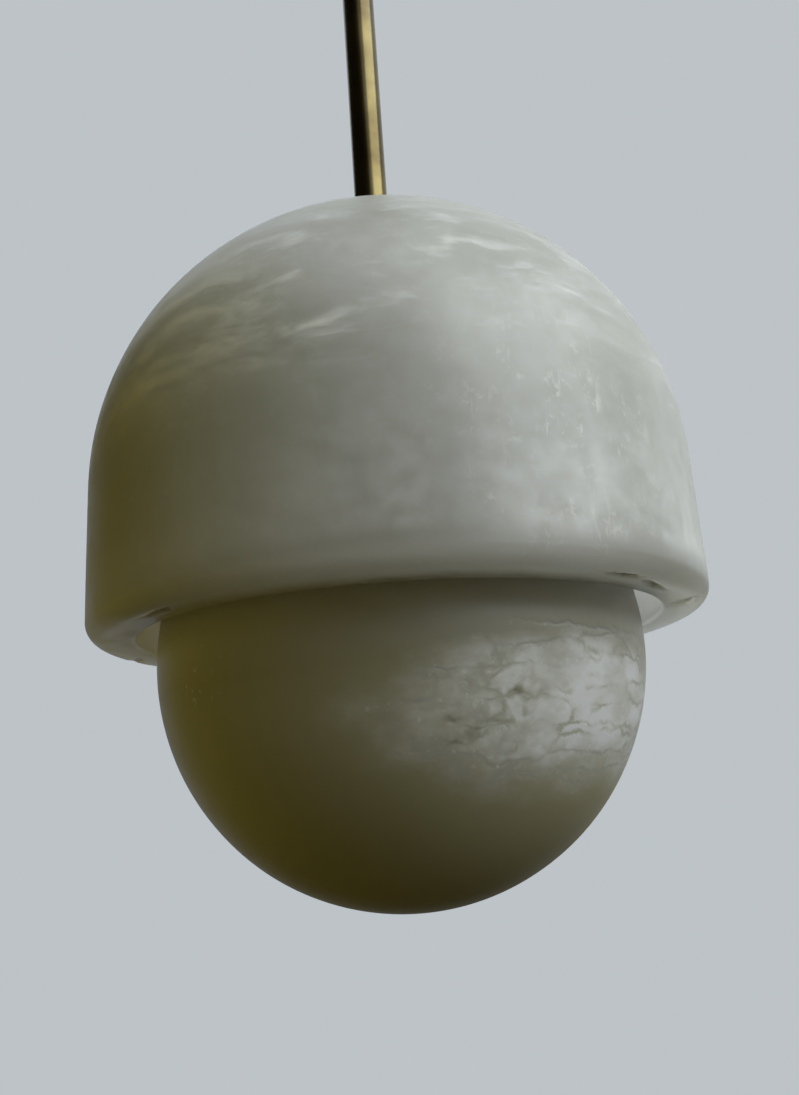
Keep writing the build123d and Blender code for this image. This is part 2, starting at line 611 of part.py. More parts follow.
# Bulb base: moulded foot of the capsule bulb
glass_top = bulb_top - BULB_BASE_LENGTH
with BuildPart() as bulb_base:
    with BuildSketch(Plane.XY.offset(glass_top)):
        Circle(BULB_BASE_DIAMETER / 2)
    extrude(amount=BULB_BASE_LENGTH)
    fillet(bulb_base.edges().group_by(Axis.Z)[-1], BULB_BASE_ROUND)
hand_in(bulb_base, "bulb_base")

# Bulb pins: flat blades that plug in the lampholder
with BuildPart() as bulb_pins:
    with BuildSketch(Plane.XY.offset(bulb_top)):
        with GridLocations(BULB_PIN_SPACING, 0, 2, 1):
            Rectangle(BULB_PIN_THICKNESS, BULB_PIN_WIDTH)
    extrude(amount=BULB_PIN_LENGTH)
hand_in(bulb_pins, "bulb_pins")

# Bulb glass: clear capsule with a round end
glass_radius = BULB_GLASS_DIAMETER / 2
glass_inner = glass_radius - BULB_GLASS_WALL
glass_end_z = glass_top - BULB_GLASS_LENGTH + glass_radius
with BuildPart() as bulb_glass:
    with BuildSketch(Plane.XZ):
        with BuildLine():
            RadiusArc((0, glass_end_z - glass_radius), (glass_radius, glass_end_z), -glass_radius)
            Polyline(
                (glass_radius, glass_end_z),
                (glass_radius, glass_top),
                (glass_inner, glass_top),
                (glass_inner, glass_end_z),
            )
            RadiusArc((glass_inner, glass_end_z), (0, glass_end_z - glass_inner), glass_inner)
            Line((0, glass_end_z - glass_inner), (0, glass_end_z - glass_radius))
        make_face()
    revolve(axis=Axis.Z)
hand_in(bulb_glass, "bulb_glass")

# Bulb burner: the lit column inside the capsule
with BuildPart() as bulb_burner:
    with BuildSketch(Plane.XY.offset(glass_top - BULB_BURNER_LENGTH)):
        Circle(BULB_BURNER_DIAMETER / 2)
    extrude(amount=BULB_BURNER_LENGTH)
    fillet(bulb_burner.edges().group_by(Axis.Z)[0], BULB_BASE_ROUND)
hand_in(bulb_burner, "bulb_burner")

# Terminal block: three poles under the bracket's tongue, earth in the middle
block_y = BLOCK_DISTANCE + BLOCK_WIDTH / 2
block_top = -BRACKET_THICKNESS
block_bottom = block_top - BLOCK_HEIGHT
block_lead_z = block_top - BLOCK_HEIGHT / 2
with BuildPart() as terminal_block:
    with BuildSketch(Plane.XY.offset(block_bottom)):
        with Locations((0, block_y)):
            RectangleRounded(BLOCK_LENGTH, BLOCK_WIDTH, BLOCK_ROUND)
    extrude(amount=BLOCK_HEIGHT)
    with BuildSketch(Plane.XZ.offset(-BLOCK_DISTANCE)):
        with Locations((0, block_lead_z)):
            with GridLocations(BLOCK_PITCH, 0, 3, 1):
                Circle(LEAD_DIAMETER / 2 + LEAD_CLEARANCE)
    extrude(amount=-LEAD_BLOCK_DEPTH, mode=Mode.SUBTRACT)
    with BuildSketch(Plane.XZ.offset(-BLOCK_DISTANCE - BLOCK_WIDTH)):
        with Locations((0, block_lead_z)):
            with GridLocations(BLOCK_PITCH, 0, 3, 1):
                Circle(LEAD_DIAMETER / 2 + LEAD_CLEARANCE)
    extrude(amount=LEAD_BLOCK_DEPTH, mode=Mode.SUBTRACT)
    with BuildSketch(Plane.XY.offset(block_bottom)):
        with Locations((0, block_y)):
            with GridLocations(BLOCK_PITCH, BLOCK_SCREW_SPACING, 3, 2):
                Circle(BLOCK_SCREW_DIAMETER / 2 + SCREW_CLEARANCE)
    extrude(amount=BLOCK_SCREW_DEPTH, mode=Mode.SUBTRACT)
    with Locations((0, block_y, block_top)):
        Hole(BLOCK_BOLT_DIAMETER / 2 + SCREW_CLEARANCE)
hand_in(terminal_block, "terminal_block")

# Terminal screws: slotted clamp screws, two to a pole
with BuildPart() as terminal_screws:
    with BuildSketch(Plane.XY.offset(block_bottom + BLOCK_SCREW_DEPTH)):
        with Locations((0, block_y)):
            with GridLocations(BLOCK_PITCH, BLOCK_SCREW_SPACING, 3, 2):
                Circle(BLOCK_SCREW_DIAMETER / 2)
    extrude(amount=-BLOCK_SCREW_LENGTH)
    with BuildSketch(Plane.XY.offset(block_bottom + BLOCK_SCREW_DEPTH - BLOCK_SCREW_LENGTH)):
        with Locations((0, block_y)):
            with GridLocations(BLOCK_PITCH, BLOCK_SCREW_SPACING, 3, 2):
                Rectangle(SCREW_SLOT_WIDTH, BLOCK_SCREW_DIAMETER)
    extrude(amount=SCREW_SLOT_DEPTH, mode=Mode.SUBTRACT)
hand_in(terminal_screws, "terminal_screws")

# Block bolt: holds the block to the tongue and bonds the earth pole to the steel
with BuildPart() as block_bolt:
    with BuildSketch(Plane.XY.offset(block_bottom - BLOCK_BOLT_HEAD_HEIGHT)):
        with Locations((0, block_y)):
            Circle(BLOCK_BOLT_HEAD_DIAMETER / 2)
    extrude(amount=BLOCK_BOLT_HEAD_HEIGHT)
    with BuildSketch(Plane.XY.offset(block_bottom)):
        with Locations((0, block_y)):
            Circle(BLOCK_BOLT_DIAMETER / 2)
    extrude(amount=BLOCK_HEIGHT + BRACKET_THICKNESS)
    with BuildSketch(Plane.XY.offset(block_bottom - BLOCK_BOLT_HEAD_HEIGHT)):
        with Locations((0, block_y)):
            Rectangle(SCREW_SLOT_WIDTH, BLOCK_BOLT_HEAD_DIAMETER)
    extrude(amount=SCREW_SLOT_DEPTH, mode=Mode.SUBTRACT)
hand_in(block_bolt, "block_bolt")

# Rod leads: live and neutral end in the lampholder, earth turns up to its screw
lead_radius = LEAD_DIAMETER / 2
lead_circle = LEAD_CIRCLE_DIAMETER / 2
side_x = lead_circle * cos(radians(30))
side_y = -lead_circle * sin(radians(30))
jog_top = rod_bottom - LEAD_BEND / 2
jog_bottom = holder_top + BRACKET_STRAP + LEAD_BEND / 2
earth_floor = rod_bottom - 2 * LEAD_DIAMETER
earth_end = gallery_z - EARTH_SCREW_HEAD_HEIGHT
with BuildPart() as rod_leads:
    for side in (-1, 1):
        with BuildLine() as run:
            FilletPolyline(
                (side * side_x, side_y, rod_top),
                (side * side_x, side_y, jog_top),
                (side * HOLDER_LEAD_SPACING / 2, 0, jog_bottom),
                (side * HOLDER_LEAD_SPACING / 2, 0, holder_top - HOLDER_LEAD_DEPTH),
                radius=LEAD_BEND,
            )
        with BuildSketch(Plane(origin=run.line @ 0, z_dir=run.line % 0)):
            Circle(lead_radius)
        sweep(path=run.line)
    with BuildLine() as run:
        FilletPolyline(
            (0, lead_circle, rod_top),
            (0, lead_circle, earth_floor),
            (0, EARTH_REACH, earth_floor),
            (0, EARTH_REACH, earth_end),
            radius=LEAD_BEND,
        )
    with BuildSketch(Plane(origin=run.line @ 0, z_dir=run.line % 0)):
        Circle(lead_radius)
    sweep(path=run.line)
hand_in(rod_leads, "rod_leads")

# Canopy leads: limp tails from the rod's top to the terminal block
tail_z = -LEAD_RISE
with BuildPart() as canopy_leads:
    for pole, start in ((-1, (-side_x, side_y)), (0, (0, lead_circle)), (1, (side_x, side_y))):
        with BuildLine() as run:
            FilletPolyline(
                (*start, rod_top),
                (*start, tail_z),
                (pole * BLOCK_PITCH, BLOCK_DISTANCE - 2 * LEAD_BEND, block_lead_z),
                (pole * BLOCK_PITCH, BLOCK_DISTANCE + LEAD_BLOCK_DEPTH, block_lead_z),
                radius=LEAD_BEND,
            )
        with BuildSketch(Plane(origin=run.line @ 0, z_dir=run.line % 0)):
            Circle(lead_radius)
        sweep(path=run.line)
hand_in(canopy_leads, "canopy_leads")
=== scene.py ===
import math

import bmesh
import bpy
from mathutils import Matrix, Vector, noise


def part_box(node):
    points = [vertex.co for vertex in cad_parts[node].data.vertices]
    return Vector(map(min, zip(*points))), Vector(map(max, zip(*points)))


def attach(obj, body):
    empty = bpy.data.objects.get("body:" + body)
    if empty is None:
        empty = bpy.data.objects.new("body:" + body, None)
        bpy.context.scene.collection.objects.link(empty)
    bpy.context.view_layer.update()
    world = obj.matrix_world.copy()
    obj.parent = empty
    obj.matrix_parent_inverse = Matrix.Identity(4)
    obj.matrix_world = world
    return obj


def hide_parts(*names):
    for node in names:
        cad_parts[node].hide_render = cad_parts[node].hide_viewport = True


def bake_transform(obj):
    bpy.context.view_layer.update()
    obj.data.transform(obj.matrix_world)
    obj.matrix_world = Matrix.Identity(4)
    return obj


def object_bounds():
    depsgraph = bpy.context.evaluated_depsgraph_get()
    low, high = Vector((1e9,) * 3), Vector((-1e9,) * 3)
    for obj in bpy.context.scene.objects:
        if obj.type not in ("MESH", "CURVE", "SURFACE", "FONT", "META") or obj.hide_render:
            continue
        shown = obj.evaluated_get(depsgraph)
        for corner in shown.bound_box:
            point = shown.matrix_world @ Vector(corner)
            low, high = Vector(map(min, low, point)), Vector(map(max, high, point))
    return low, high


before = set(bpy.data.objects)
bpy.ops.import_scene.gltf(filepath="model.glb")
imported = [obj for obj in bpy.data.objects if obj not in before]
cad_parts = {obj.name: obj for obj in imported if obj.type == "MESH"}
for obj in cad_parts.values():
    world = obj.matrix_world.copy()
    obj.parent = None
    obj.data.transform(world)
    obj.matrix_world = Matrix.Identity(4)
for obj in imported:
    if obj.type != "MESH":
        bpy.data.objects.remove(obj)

cad_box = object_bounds()

# Ceiling bracket, support plate, gallery and small fixings: pressed steel sheet and steel screws.
# Bright zinc plating leaves a cloudy blue-grey skin over the rolling lines of the sheet, which are drawn
# coarser than they are, so that they show.
MM = 0.001  # the lamp's sizes and patterns without MM are in millimetres, and the studio's sizes in metres


def linear(code):
    """An sRGB hex colour as linear RGBA."""
    parts = [int(code[i:i + 2], 16) / 255 for i in (1, 3, 5)]
    return [p / 12.92 if p <= 0.04045 else ((p + 0.055) / 1.055) ** 2.4 for p in parts] + [1.0]


def add(tree, kind, inputs, output=None, **settings):
    """Add one node with its settings; an input is a value or another node's output."""
    made = tree.nodes.new(kind)
    for name, value in settings.items():
        setattr(made, name, value)
    for name, value in inputs.items():
        if isinstance(value, bpy.types.NodeSocket):
            tree.links.new(value, made.inputs[name])
        else:
            made.inputs[name].default_value = value
    return made.outputs[output] if output else next(way for way in made.outputs if way.enabled)


def new_finish(name, roughness, metallic=0.0):
    """An empty finish: its material, node tree, shader and the piece's own coordinates."""
    material = bpy.data.materials.new(name)
    material.use_nodes = True
    shader = material.node_tree.nodes["Principled BSDF"]
    shader.inputs["Roughness"].default_value = roughness
    shader.inputs["Metallic"].default_value = metallic
    place = material.node_tree.nodes.new("ShaderNodeTexCoord").outputs["Object"]
    return material, material.node_tree, shader, place


def dress(material, *names):
    """Give CAD nodes their finish."""
    for name in names:
        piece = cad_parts[name]
        piece.data.materials.clear()
        piece.data.materials.append(material)


zinc, tree, shader, place = new_finish("zinc_plated_steel", 0.4, 1.0)
ZINC_CLOUD, ROLLING_LINE, ALONG_ROLLING = 7.0, 0.5, 0.03
cloud = add(tree, "ShaderNodeTexNoise", {"Vector": place, "Scale": 1 / (ZINC_CLOUD * MM), "Detail": 6.0})
cloud = add(tree, "ShaderNodeMapRange", {"Value": cloud, "From Min": 0.35, "From Max": 0.65})
colour = add(tree, "ShaderNodeMix", {"Factor": cloud, "A": linear("#A9AEB2"), "B": linear("#C6C8C4")},
             data_type="RGBA")
tree.links.new(colour, shader.inputs["Base Color"])
lines = add(tree, "ShaderNodeMapping", {"Vector": place, "Scale": (ALONG_ROLLING, 1.0, 1.0)})
lines = add(tree, "ShaderNodeTexNoise", {"Vector": lines, "Scale": 1 / (ROLLING_LINE * MM), "Detail": 2.0})
rough = add(tree, "ShaderNodeMapRange", {"Value": lines, "To Min": 0.3, "To Max": 0.5})
tree.links.new(rough, shader.inputs["Roughness"])
bump = add(tree, "ShaderNodeBump", {"Height": lines, "Strength": 0.2, "Distance": 0.03 * MM})
tree.links.new(bump, shader.inputs["Normal"])
dress(zinc, "ceiling_bracket", "block_bolt", "terminal_screws", "key_pins", "rod_nuts", "spring_washers",
      "support_plate", "gallery", "holder_bracket", "holder_screws", "earth_screw", "earth_nut", "bulb_pins")

# Terminal block: three poles moulded in natural polyamide and bolted under the bracket's tongue.
# The plastic is milky and a little see-through, with the dull grain of the spark-eroded mould, which is
# drawn coarser than it is, so that it shows.
block_plastic, tree, shader, place = new_finish("moulded_polyamide", 0.5)
MOULD_GRAIN, MOULD_CLOUD, MOULD_LIGHT_DEPTH = 0.4, 12.0, 2.0
cloud = add(tree, "ShaderNodeTexNoise", {"Vector": place, "Scale": 1 / (MOULD_CLOUD * MM), "Detail": 3.0})
colour = add(tree, "ShaderNodeMix", {"Factor": cloud, "A": linear("#DAD9D0"), "B": linear("#E9E8E2")},
             data_type="RGBA")
tree.links.new(colour, shader.inputs["Base Color"])
shader.inputs["Subsurface Weight"].default_value = 0.3
shader.inputs["Subsurface Scale"].default_value = MOULD_LIGHT_DEPTH * MM
grain = add(tree, "ShaderNodeTexNoise", {"Vector": place, "Scale": 1 / (MOULD_GRAIN * MM), "Detail": 2.0})
bump = add(tree, "ShaderNodeBump", {"Height": grain, "Strength": 0.25, "Distance": 0.05 * MM})
tree.links.new(bump, shader.inputs["Normal"])
dress(block_plastic, "terminal_block")

# Leads: three wires in dull extruded silicone, from the terminal block through the rod to the lampholder.
# Brown and blue lie on the two sides, and the earth lead behind them is half green and half yellow.
# The tails above the rod hang limp, and are cut in two halves at their middle.
EARTH_SIDE, EARTH_REACH, LEAD_WAVE = 0.5 * MM, 1.3 * MM, 3.0
lead_skins = {}
for lead_finish in ("extruded_silicone_leads", "extruded_silicone_tails"):
    lead_skins[lead_finish], tree, shader, place = new_finish(lead_finish, 0.5)
    if lead_finish == "extruded_silicone_tails":
        place = add(tree, "ShaderNodeAttribute", {}, output="Vector", attribute_name="at_rest")
    across = add(tree, "ShaderNodeSeparateXYZ", {"Vector": place}, output="X")
    behind = add(tree, "ShaderNodeSeparateXYZ", {"Vector": place}, output="Y")
    right = add(tree, "ShaderNodeMath", {0: across, 1: 0.0}, operation="GREATER_THAN")
    near_middle = add(tree, "ShaderNodeMath", {0: across, 1: 0.0, 2: EARTH_REACH}, operation="COMPARE")
    earth = add(tree, "ShaderNodeMath", {0: behind, 1: EARTH_SIDE}, operation="GREATER_THAN")
    earth = add(tree, "ShaderNodeMath", {0: earth, 1: near_middle}, operation="MULTIPLY")
    poles = add(tree, "ShaderNodeMix", {"Factor": right, "A": linear("#5F3A22"), "B": linear("#2C5A93")},
                data_type="RGBA")
    stripes = add(tree, "ShaderNodeMix", {"Factor": right, "A": linear("#3E7F3B"), "B": linear("#D9BE3A")},
                  data_type="RGBA")
    colour = add(tree, "ShaderNodeMix", {"Factor": earth, "A": poles, "B": stripes}, data_type="RGBA")
    tree.links.new(colour, shader.inputs["Base Color"])
    wave = add(tree, "ShaderNodeTexNoise", {"Vector": place, "Scale": 1 / (LEAD_WAVE * MM), "Detail": 3.0})
    rough = add(tree, "ShaderNodeMapRange", {"Value": wave, "To Min": 0.42, "To Max": 0.6})
    tree.links.new(rough, shader.inputs["Roughness"])
dress(lead_skins["extruded_silicone_leads"], "rod_leads")

TAIL_AT_ROD, TAIL_MIDDLE, TAIL_AT_BLOCK, TAIL_STEP = 5.5, 13.5, 21.5, 1.0
WELD, SLIVER = 0.001 * MM, 0.02 * MM
SHARP_EDGE = math.radians(40)
for name, bodies, bend_from, bend_to in (
    ("lead_tails_at_block", ("ceiling_mount", "swivel_key"), TAIL_AT_BLOCK, TAIL_MIDDLE),
    ("lead_tails_at_rod", ("swivel_key", "stem"), TAIL_MIDDLE, TAIL_AT_ROD),
):
    tails = bmesh.new()
    tails.from_mesh(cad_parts["canopy_leads"].data)
    bmesh.ops.remove_doubles(tails, verts=tails.verts[:], dist=WELD)
    cut = TAIL_AT_ROD
    while cut <= TAIL_AT_BLOCK:
        bmesh.ops.bisect_plane(tails, geom=tails.verts[:] + tails.edges[:] + tails.faces[:],
                               plane_co=(0, cut * MM, 0), plane_no=(0, 1, 0))
        cut += TAIL_STEP
    other_half = TAIL_MIDDLE - (bend_from + bend_to) / 2
    bmesh.ops.bisect_plane(tails, geom=tails.verts[:] + tails.edges[:] + tails.faces[:],
                           plane_co=(0, TAIL_MIDDLE * MM, 0), plane_no=(0, other_half, 0), clear_outer=True)
    bmesh.ops.holes_fill(tails, edges=[edge for edge in tails.edges if edge.is_boundary])
    bmesh.ops.dissolve_degenerate(tails, edges=tails.edges[:], dist=SLIVER)
    at_rest = tails.verts.layers.float_vector.new("at_rest")
    for vertex in tails.verts:
        vertex[at_rest] = vertex.co
    for face in tails.faces:
        face.smooth = True
    for edge in tails.edges:
        edge.smooth = edge.calc_face_angle(0) < SHARP_EDGE
    data = bpy.data.meshes.new(name)
    tails.to_mesh(data)
    tails.free()
    data.materials.append(lead_skins["extruded_silicone_tails"])
    piece = bpy.data.objects.new(name, data)
    bpy.context.scene.collection.objects.link(piece)
    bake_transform(piece)
    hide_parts("canopy_leads")

# Canopy, its thumb screws and the ball swivel: brass spun or turned on a lathe, rubbed to a satin
# and lacquered. The canopy hides the wiring, and the ball hangs in its seat so that the rod hangs plumb.
# Rings of the lathe break up the shine, and are drawn coarser than they are, so that they show.
turned_brass, tree, shader, place = new_finish("turned_satin_brass", 0.3, 1.0)
RING_PITCH, BRASS_TARNISH = 0.9, 30.0
from_axis = add(tree, "ShaderNodeVectorMath", {0: place, 1: (1.0, 1.0, 0.0)}, operation="MULTIPLY")
from_axis = add(tree, "ShaderNodeVectorMath", {0: from_axis}, operation="LENGTH")
height = add(tree, "ShaderNodeSeparateXYZ", {"Vector": place}, output="Z")
ring_place = add(tree, "ShaderNodeCombineXYZ", {"X": from_axis, "Z": height})
rings = add(tree, "ShaderNodeTexNoise", {"Vector": ring_place, "Scale": 1 / (RING_PITCH * MM), "Detail": 3.0})
tarnish = add(tree, "ShaderNodeTexNoise", {"Vector": place, "Scale": 1 / (BRASS_TARNISH * MM), "Detail": 5.0})
tarnish = add(tree, "ShaderNodeMapRange", {"Value": tarnish, "From Min": 0.4, "From Max": 0.7})
colour = add(tree, "ShaderNodeMix", {"Factor": tarnish, "A": linear("#B3A477"), "B": linear("#94835A")},
             data_type="RGBA")
tree.links.new(colour, shader.inputs["Base Color"])
rough = add(tree, "ShaderNodeMapRange", {"Value": rings, "To Min": 0.24, "To Max": 0.38})
tree.links.new(rough, shader.inputs["Roughness"])
bump = add(tree, "ShaderNodeBump", {"Height": rings, "Strength": 0.12, "Distance": 0.1 * MM})
tree.links.new(bump, shader.inputs["Normal"])
dress(turned_brass, "canopy", "canopy_screws", "ball_seat", "swivel_ball", "bayonet_ring", "bayonet_lugs")

# Rod: a drawn brass tube, brushed along its length and left to darken, screwed in the ball above
# and carrying the shade and the gallery below. Its draw lines pull the shine out lengthwise, and are
# drawn coarser than they are, so that they show.
drawn_brass, tree, shader, place = new_finish("drawn_aged_brass", 0.26, 1.0)
DRAW_LINE, DRAW_RUN, AGE_SPOT = 0.35, 60.0, 14.0
drawn = add(tree, "ShaderNodeMapping", {"Vector": place, "Scale": (1.0, 1.0, DRAW_LINE / DRAW_RUN)})
drawn = add(tree, "ShaderNodeTexNoise", {"Vector": drawn, "Scale": 1 / (DRAW_LINE * MM), "Detail": 3.0})
age = add(tree, "ShaderNodeTexNoise", {"Vector": place, "Scale": 1 / (AGE_SPOT * MM), "Detail": 6.0})
age = add(tree, "ShaderNodeMapRange", {"Value": age, "From Min": 0.42, "From Max": 0.68})
colour = add(tree, "ShaderNodeMix", {"Factor": age, "A": linear("#74663C"), "B": linear("#544622")},
             data_type="RGBA")
tree.links.new(colour, shader.inputs["Base Color"])
rough = add(tree, "ShaderNodeMapRange", {"Value": drawn, "To Min": 0.18, "To Max": 0.3})
tree.links.new(rough, shader.inputs["Roughness"])
bump = add(tree, "ShaderNodeBump", {"Height": drawn, "Strength": 0.1, "Distance": 0.05 * MM})
tree.links.new(bump, shader.inputs["Normal"])
shader.inputs["Coat Weight"].default_value = 0.35
shader.inputs["Coat Roughness"].default_value = 0.15
dress(drawn_brass, "rod")

# Shade gasket and ring seal: washers punched from silicone sheet, which keep steel off the stone.
# The sheet is milky, so light goes a little way in, and its skin has a dull grain, which is drawn
# coarser than it is, so that it shows.
silicone, tree, shader, place = new_finish("silicone_sheet", 0.55)
SHEET_CLOUD, SHEET_GRAIN, SHEET_LIGHT_DEPTH = 6.0, 0.5, 2.0
cloud = add(tree, "ShaderNodeTexNoise", {"Vector": place, "Scale": 1 / (SHEET_CLOUD * MM), "Detail": 4.0})
colour = add(tree, "ShaderNodeMix", {"Factor": cloud, "A": linear("#CFCFC9"), "B": linear("#DEDEDA")},
             data_type="RGBA")
tree.links.new(colour, shader.inputs["Base Color"])
shader.inputs["Subsurface Weight"].default_value = 0.4
shader.inputs["Subsurface Scale"].default_value = SHEET_LIGHT_DEPTH * MM
grain = add(tree, "ShaderNodeTexNoise", {"Vector": place, "Scale": 1 / (SHEET_GRAIN * MM), "Detail": 2.0})
bump = add(tree, "ShaderNodeBump", {"Height": grain, "Strength": 0.2, "Distance": 0.05 * MM})
tree.links.new(bump, shader.inputs["Normal"])
dress(silicone, "shade_gasket", "ring_seal")

# Lampholder: pressed and fired steatite, a cream ceramic with a dry skin and fine dark specks.
# It is screwed under the holder bracket and takes the bulb's two pins.
steatite, tree, shader, place = new_finish("fired_steatite", 0.5)
SPECK, FIRED_CLOUD = 0.7, 9.0
cloud = add(tree, "ShaderNodeTexNoise", {"Vector": place, "Scale": 1 / (FIRED_CLOUD * MM), "Detail": 4.0})
colour = add(tree, "ShaderNodeMix", {"Factor": cloud, "A": linear("#E3DDCB"), "B": linear("#EDE9DC")},
             data_type="RGBA")
specks = add(tree, "ShaderNodeTexNoise", {"Vector": place, "Scale": 1 / (SPECK * MM), "Detail": 2.0})
specks = add(tree, "ShaderNodeMapRange", {"Value": specks, "From Min": 0.68, "From Max": 0.76})
colour = add(tree, "ShaderNodeMix", {"Factor": specks, "A": colour, "B": linear("#A79F8B")}, data_type="RGBA")
tree.links.new(colour, shader.inputs["Base Color"])
bump = add(tree, "ShaderNodeBump", {"Height": specks, "Strength": 0.3, "Distance": 0.05 * MM})
tree.links.new(bump, shader.inputs["Normal"])
dress(steatite, "lampholder")

# Bulb: a clear glass capsule over a burner coated with yellow phosphor, in a white moulded base.
# The base carries the pins, and the glass is drawn tube with a faint ripple. The base's mould grain is
# drawn coarser than it is, so that it shows.
base_plastic, tree, shader, place = new_finish("moulded_white_polycarbonate", 0.35)
BASE_GRAIN, COAT_LUMP, GLASS_RIPPLE = 0.5, 1.2, 8.0
grain = add(tree, "ShaderNodeTexNoise", {"Vector": place, "Scale": 1 / (BASE_GRAIN * MM), "Detail": 2.0})
colour = add(tree, "ShaderNodeMix", {"Factor": grain, "A": linear("#E2E1DB"), "B": linear("#ECEBE7")},
             data_type="RGBA")
tree.links.new(colour, shader.inputs["Base Color"])
bump = add(tree, "ShaderNodeBump", {"Height": grain, "Strength": 0.15, "Distance": 0.04 * MM})
tree.links.new(bump, shader.inputs["Normal"])
dress(base_plastic, "bulb_base")

clear_glass, tree, shader, place = new_finish("drawn_clear_glass", 0.02)
shader.inputs["Base Color"].default_value = linear("#F6F8F6")
shader.inputs["Transmission Weight"].default_value = 1.0
shader.inputs["IOR"].default_value = 1.47
ripple = add(tree, "ShaderNodeTexNoise", {"Vector": place, "Scale": 1 / (GLASS_RIPPLE * MM), "Detail": 2.0})
bump = add(tree, "ShaderNodeBump", {"Height": ripple, "Strength": 0.1, "Distance": 0.1 * MM})
tree.links.new(bump, shader.inputs["Normal"])
dress(clear_glass, "bulb_glass")

phosphor, tree, shader, place = new_finish("phosphor_coat", 0.6)
lumps = add(tree, "ShaderNodeTexNoise", {"Vector": place, "Scale": 1 / (COAT_LUMP * MM), "Detail": 4.0})
colour = add(tree, "ShaderNodeMix", {"Factor": lumps, "A": linear("#CFAE35"), "B": linear("#E3C956")},
             data_type="RGBA")
tree.links.new(colour, shader.inputs["Base Color"])
bump = add(tree, "ShaderNodeBump", {"Height": lumps, "Strength": 0.4, "Distance": 0.1 * MM})
tree.links.new(bump, shader.inputs["Normal"])
dress(phosphor, "bulb_burner")

# Shade: one block of alabaster turned inside and out on a lathe and rubbed with wax. The stone is
# soft, so its rim is rounded over and nicked. Milky beds drift through clearer stone near the crown.
rim_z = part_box("shade")[0].z
SHADE_RADIUS, SHADE_WALL, SHADE_SKIRT = 80 * MM, 12 * MM, 38 * MM
RIM_ROUND, RIM_INNER_ROUND = 4.5 * MM, 1.2 * MM
ROD_HOLE, SEAT_RADIUS = 5.3 * MM, 22 * MM
TURN_STEPS = 260
RUB_DEPTH, RUB_WAVE = 0.1 * MM, 24 * MM
CHIP_WAVE, CHIP_EDGE, CHIP_CUTS, CHIP_FRAY, CHIP_FALL = 1.5 * MM, 2 * MM, 3, 0.3, 2
dome_z = rim_z + SHADE_SKIRT
shade_inner = SHADE_RADIUS - SHADE_WALL


def run(mesh, end, x, z, steps):
    """Carry a profile's end vertex straight to a new place."""
    start = end.co.copy()
    for step in range(steps):
        end = bmesh.ops.extrude_vert_indiv(mesh, verts=[end])["verts"][0]
        end.co = start.lerp((x, 0, z), (step + 1) / steps)
    return end


def swing(mesh, end, x, z, angle, steps):
    """Carry a profile's end vertex round a centre, towards the foot if the angle is positive."""
    made = bmesh.ops.spin(mesh, geom=[end], cent=(x, 0, z), axis=(0, 1, 0), angle=angle, steps=steps)
    return [part for part in made["geom_last"] if isinstance(part, bmesh.types.BMVert)][0]


def turn(mesh):
    """Spin a whole profile round the lamp's axis, close it and rub it a little uneven by hand."""
    bmesh.ops.spin(mesh, geom=mesh.verts[:] + mesh.edges[:], cent=(0, 0, 0), axis=(0, 0, 1),
                   angle=2 * math.pi, steps=TURN_STEPS, use_merge=True)
    bmesh.ops.remove_doubles(mesh, verts=mesh.verts[:], dist=WELD)
    bmesh.ops.recalc_face_normals(mesh, faces=mesh.faces[:])
    mesh.normal_update()
    for vertex in mesh.verts:
        clear_of_rod = min(1.0, vertex.co.xy.length / SHADE_RADIUS)
        vertex.co += vertex.normal * RUB_DEPTH * clear_of_rod * noise.noise(vertex.co / RUB_WAVE)


def on_stone(angle, radius, height):
    """A point of the stone: its angle round the axis, its radius and its height above the rim."""
    side = math.radians(angle)
    return Vector((radius * math.cos(side), radius * math.sin(side), rim_z + height))


def carve(mesh, marks, depth):
    """Sink pits or cracks, and note in the scar layer how deep each vertex lies in one."""
    near = set()
    for spot, along, length, width in marks:
        for vertex in mesh.verts:
            offset = vertex.co - spot
            reach = offset.dot(along)
            aside = (offset - along * reach).length
            if abs(reach) < length + CHIP_EDGE and aside < width + CHIP_EDGE:
                near.update(vertex.link_edges)
    bmesh.ops.subdivide_edges(mesh, edges=list(near), cuts=CHIP_CUTS, use_grid_fill=True)
    mesh.normal_update()
    scar = mesh.verts.layers.float.new("scar")
    for vertex in mesh.verts:
        for spot, along, length, width in marks:
            offset = vertex.co - spot
            if offset.length < 2 * length:
                offset += noise.noise_vector(vertex.co / CHIP_WAVE) * CHIP_FRAY * width
                reach = offset.dot(along)
                aside = (offset - along * reach).length
                share = math.exp(-(CHIP_FALL * reach / length) ** 2 - (CHIP_FALL * aside / width) ** 2)
                vertex[scar] = max(vertex[scar], share)
    for vertex in mesh.verts:
        vertex.co -= vertex.normal * depth * vertex[scar]


def stone_piece(name, mesh, body, material):
    """Make the turned stone a piece that stands for its CAD node."""
    for face in mesh.faces:
        face.smooth = True
    for edge in mesh.edges:
        edge.smooth = edge.calc_face_angle(0) < SHARP_EDGE
    data = bpy.data.meshes.new("stone_" + name)
    mesh.to_mesh(data)
    mesh.free()
    data.materials.append(material)
    piece = bpy.data.objects.new("stone_" + name, data)
    bpy.context.scene.collection.objects.link(piece)
    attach(piece, body)
    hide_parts(name)


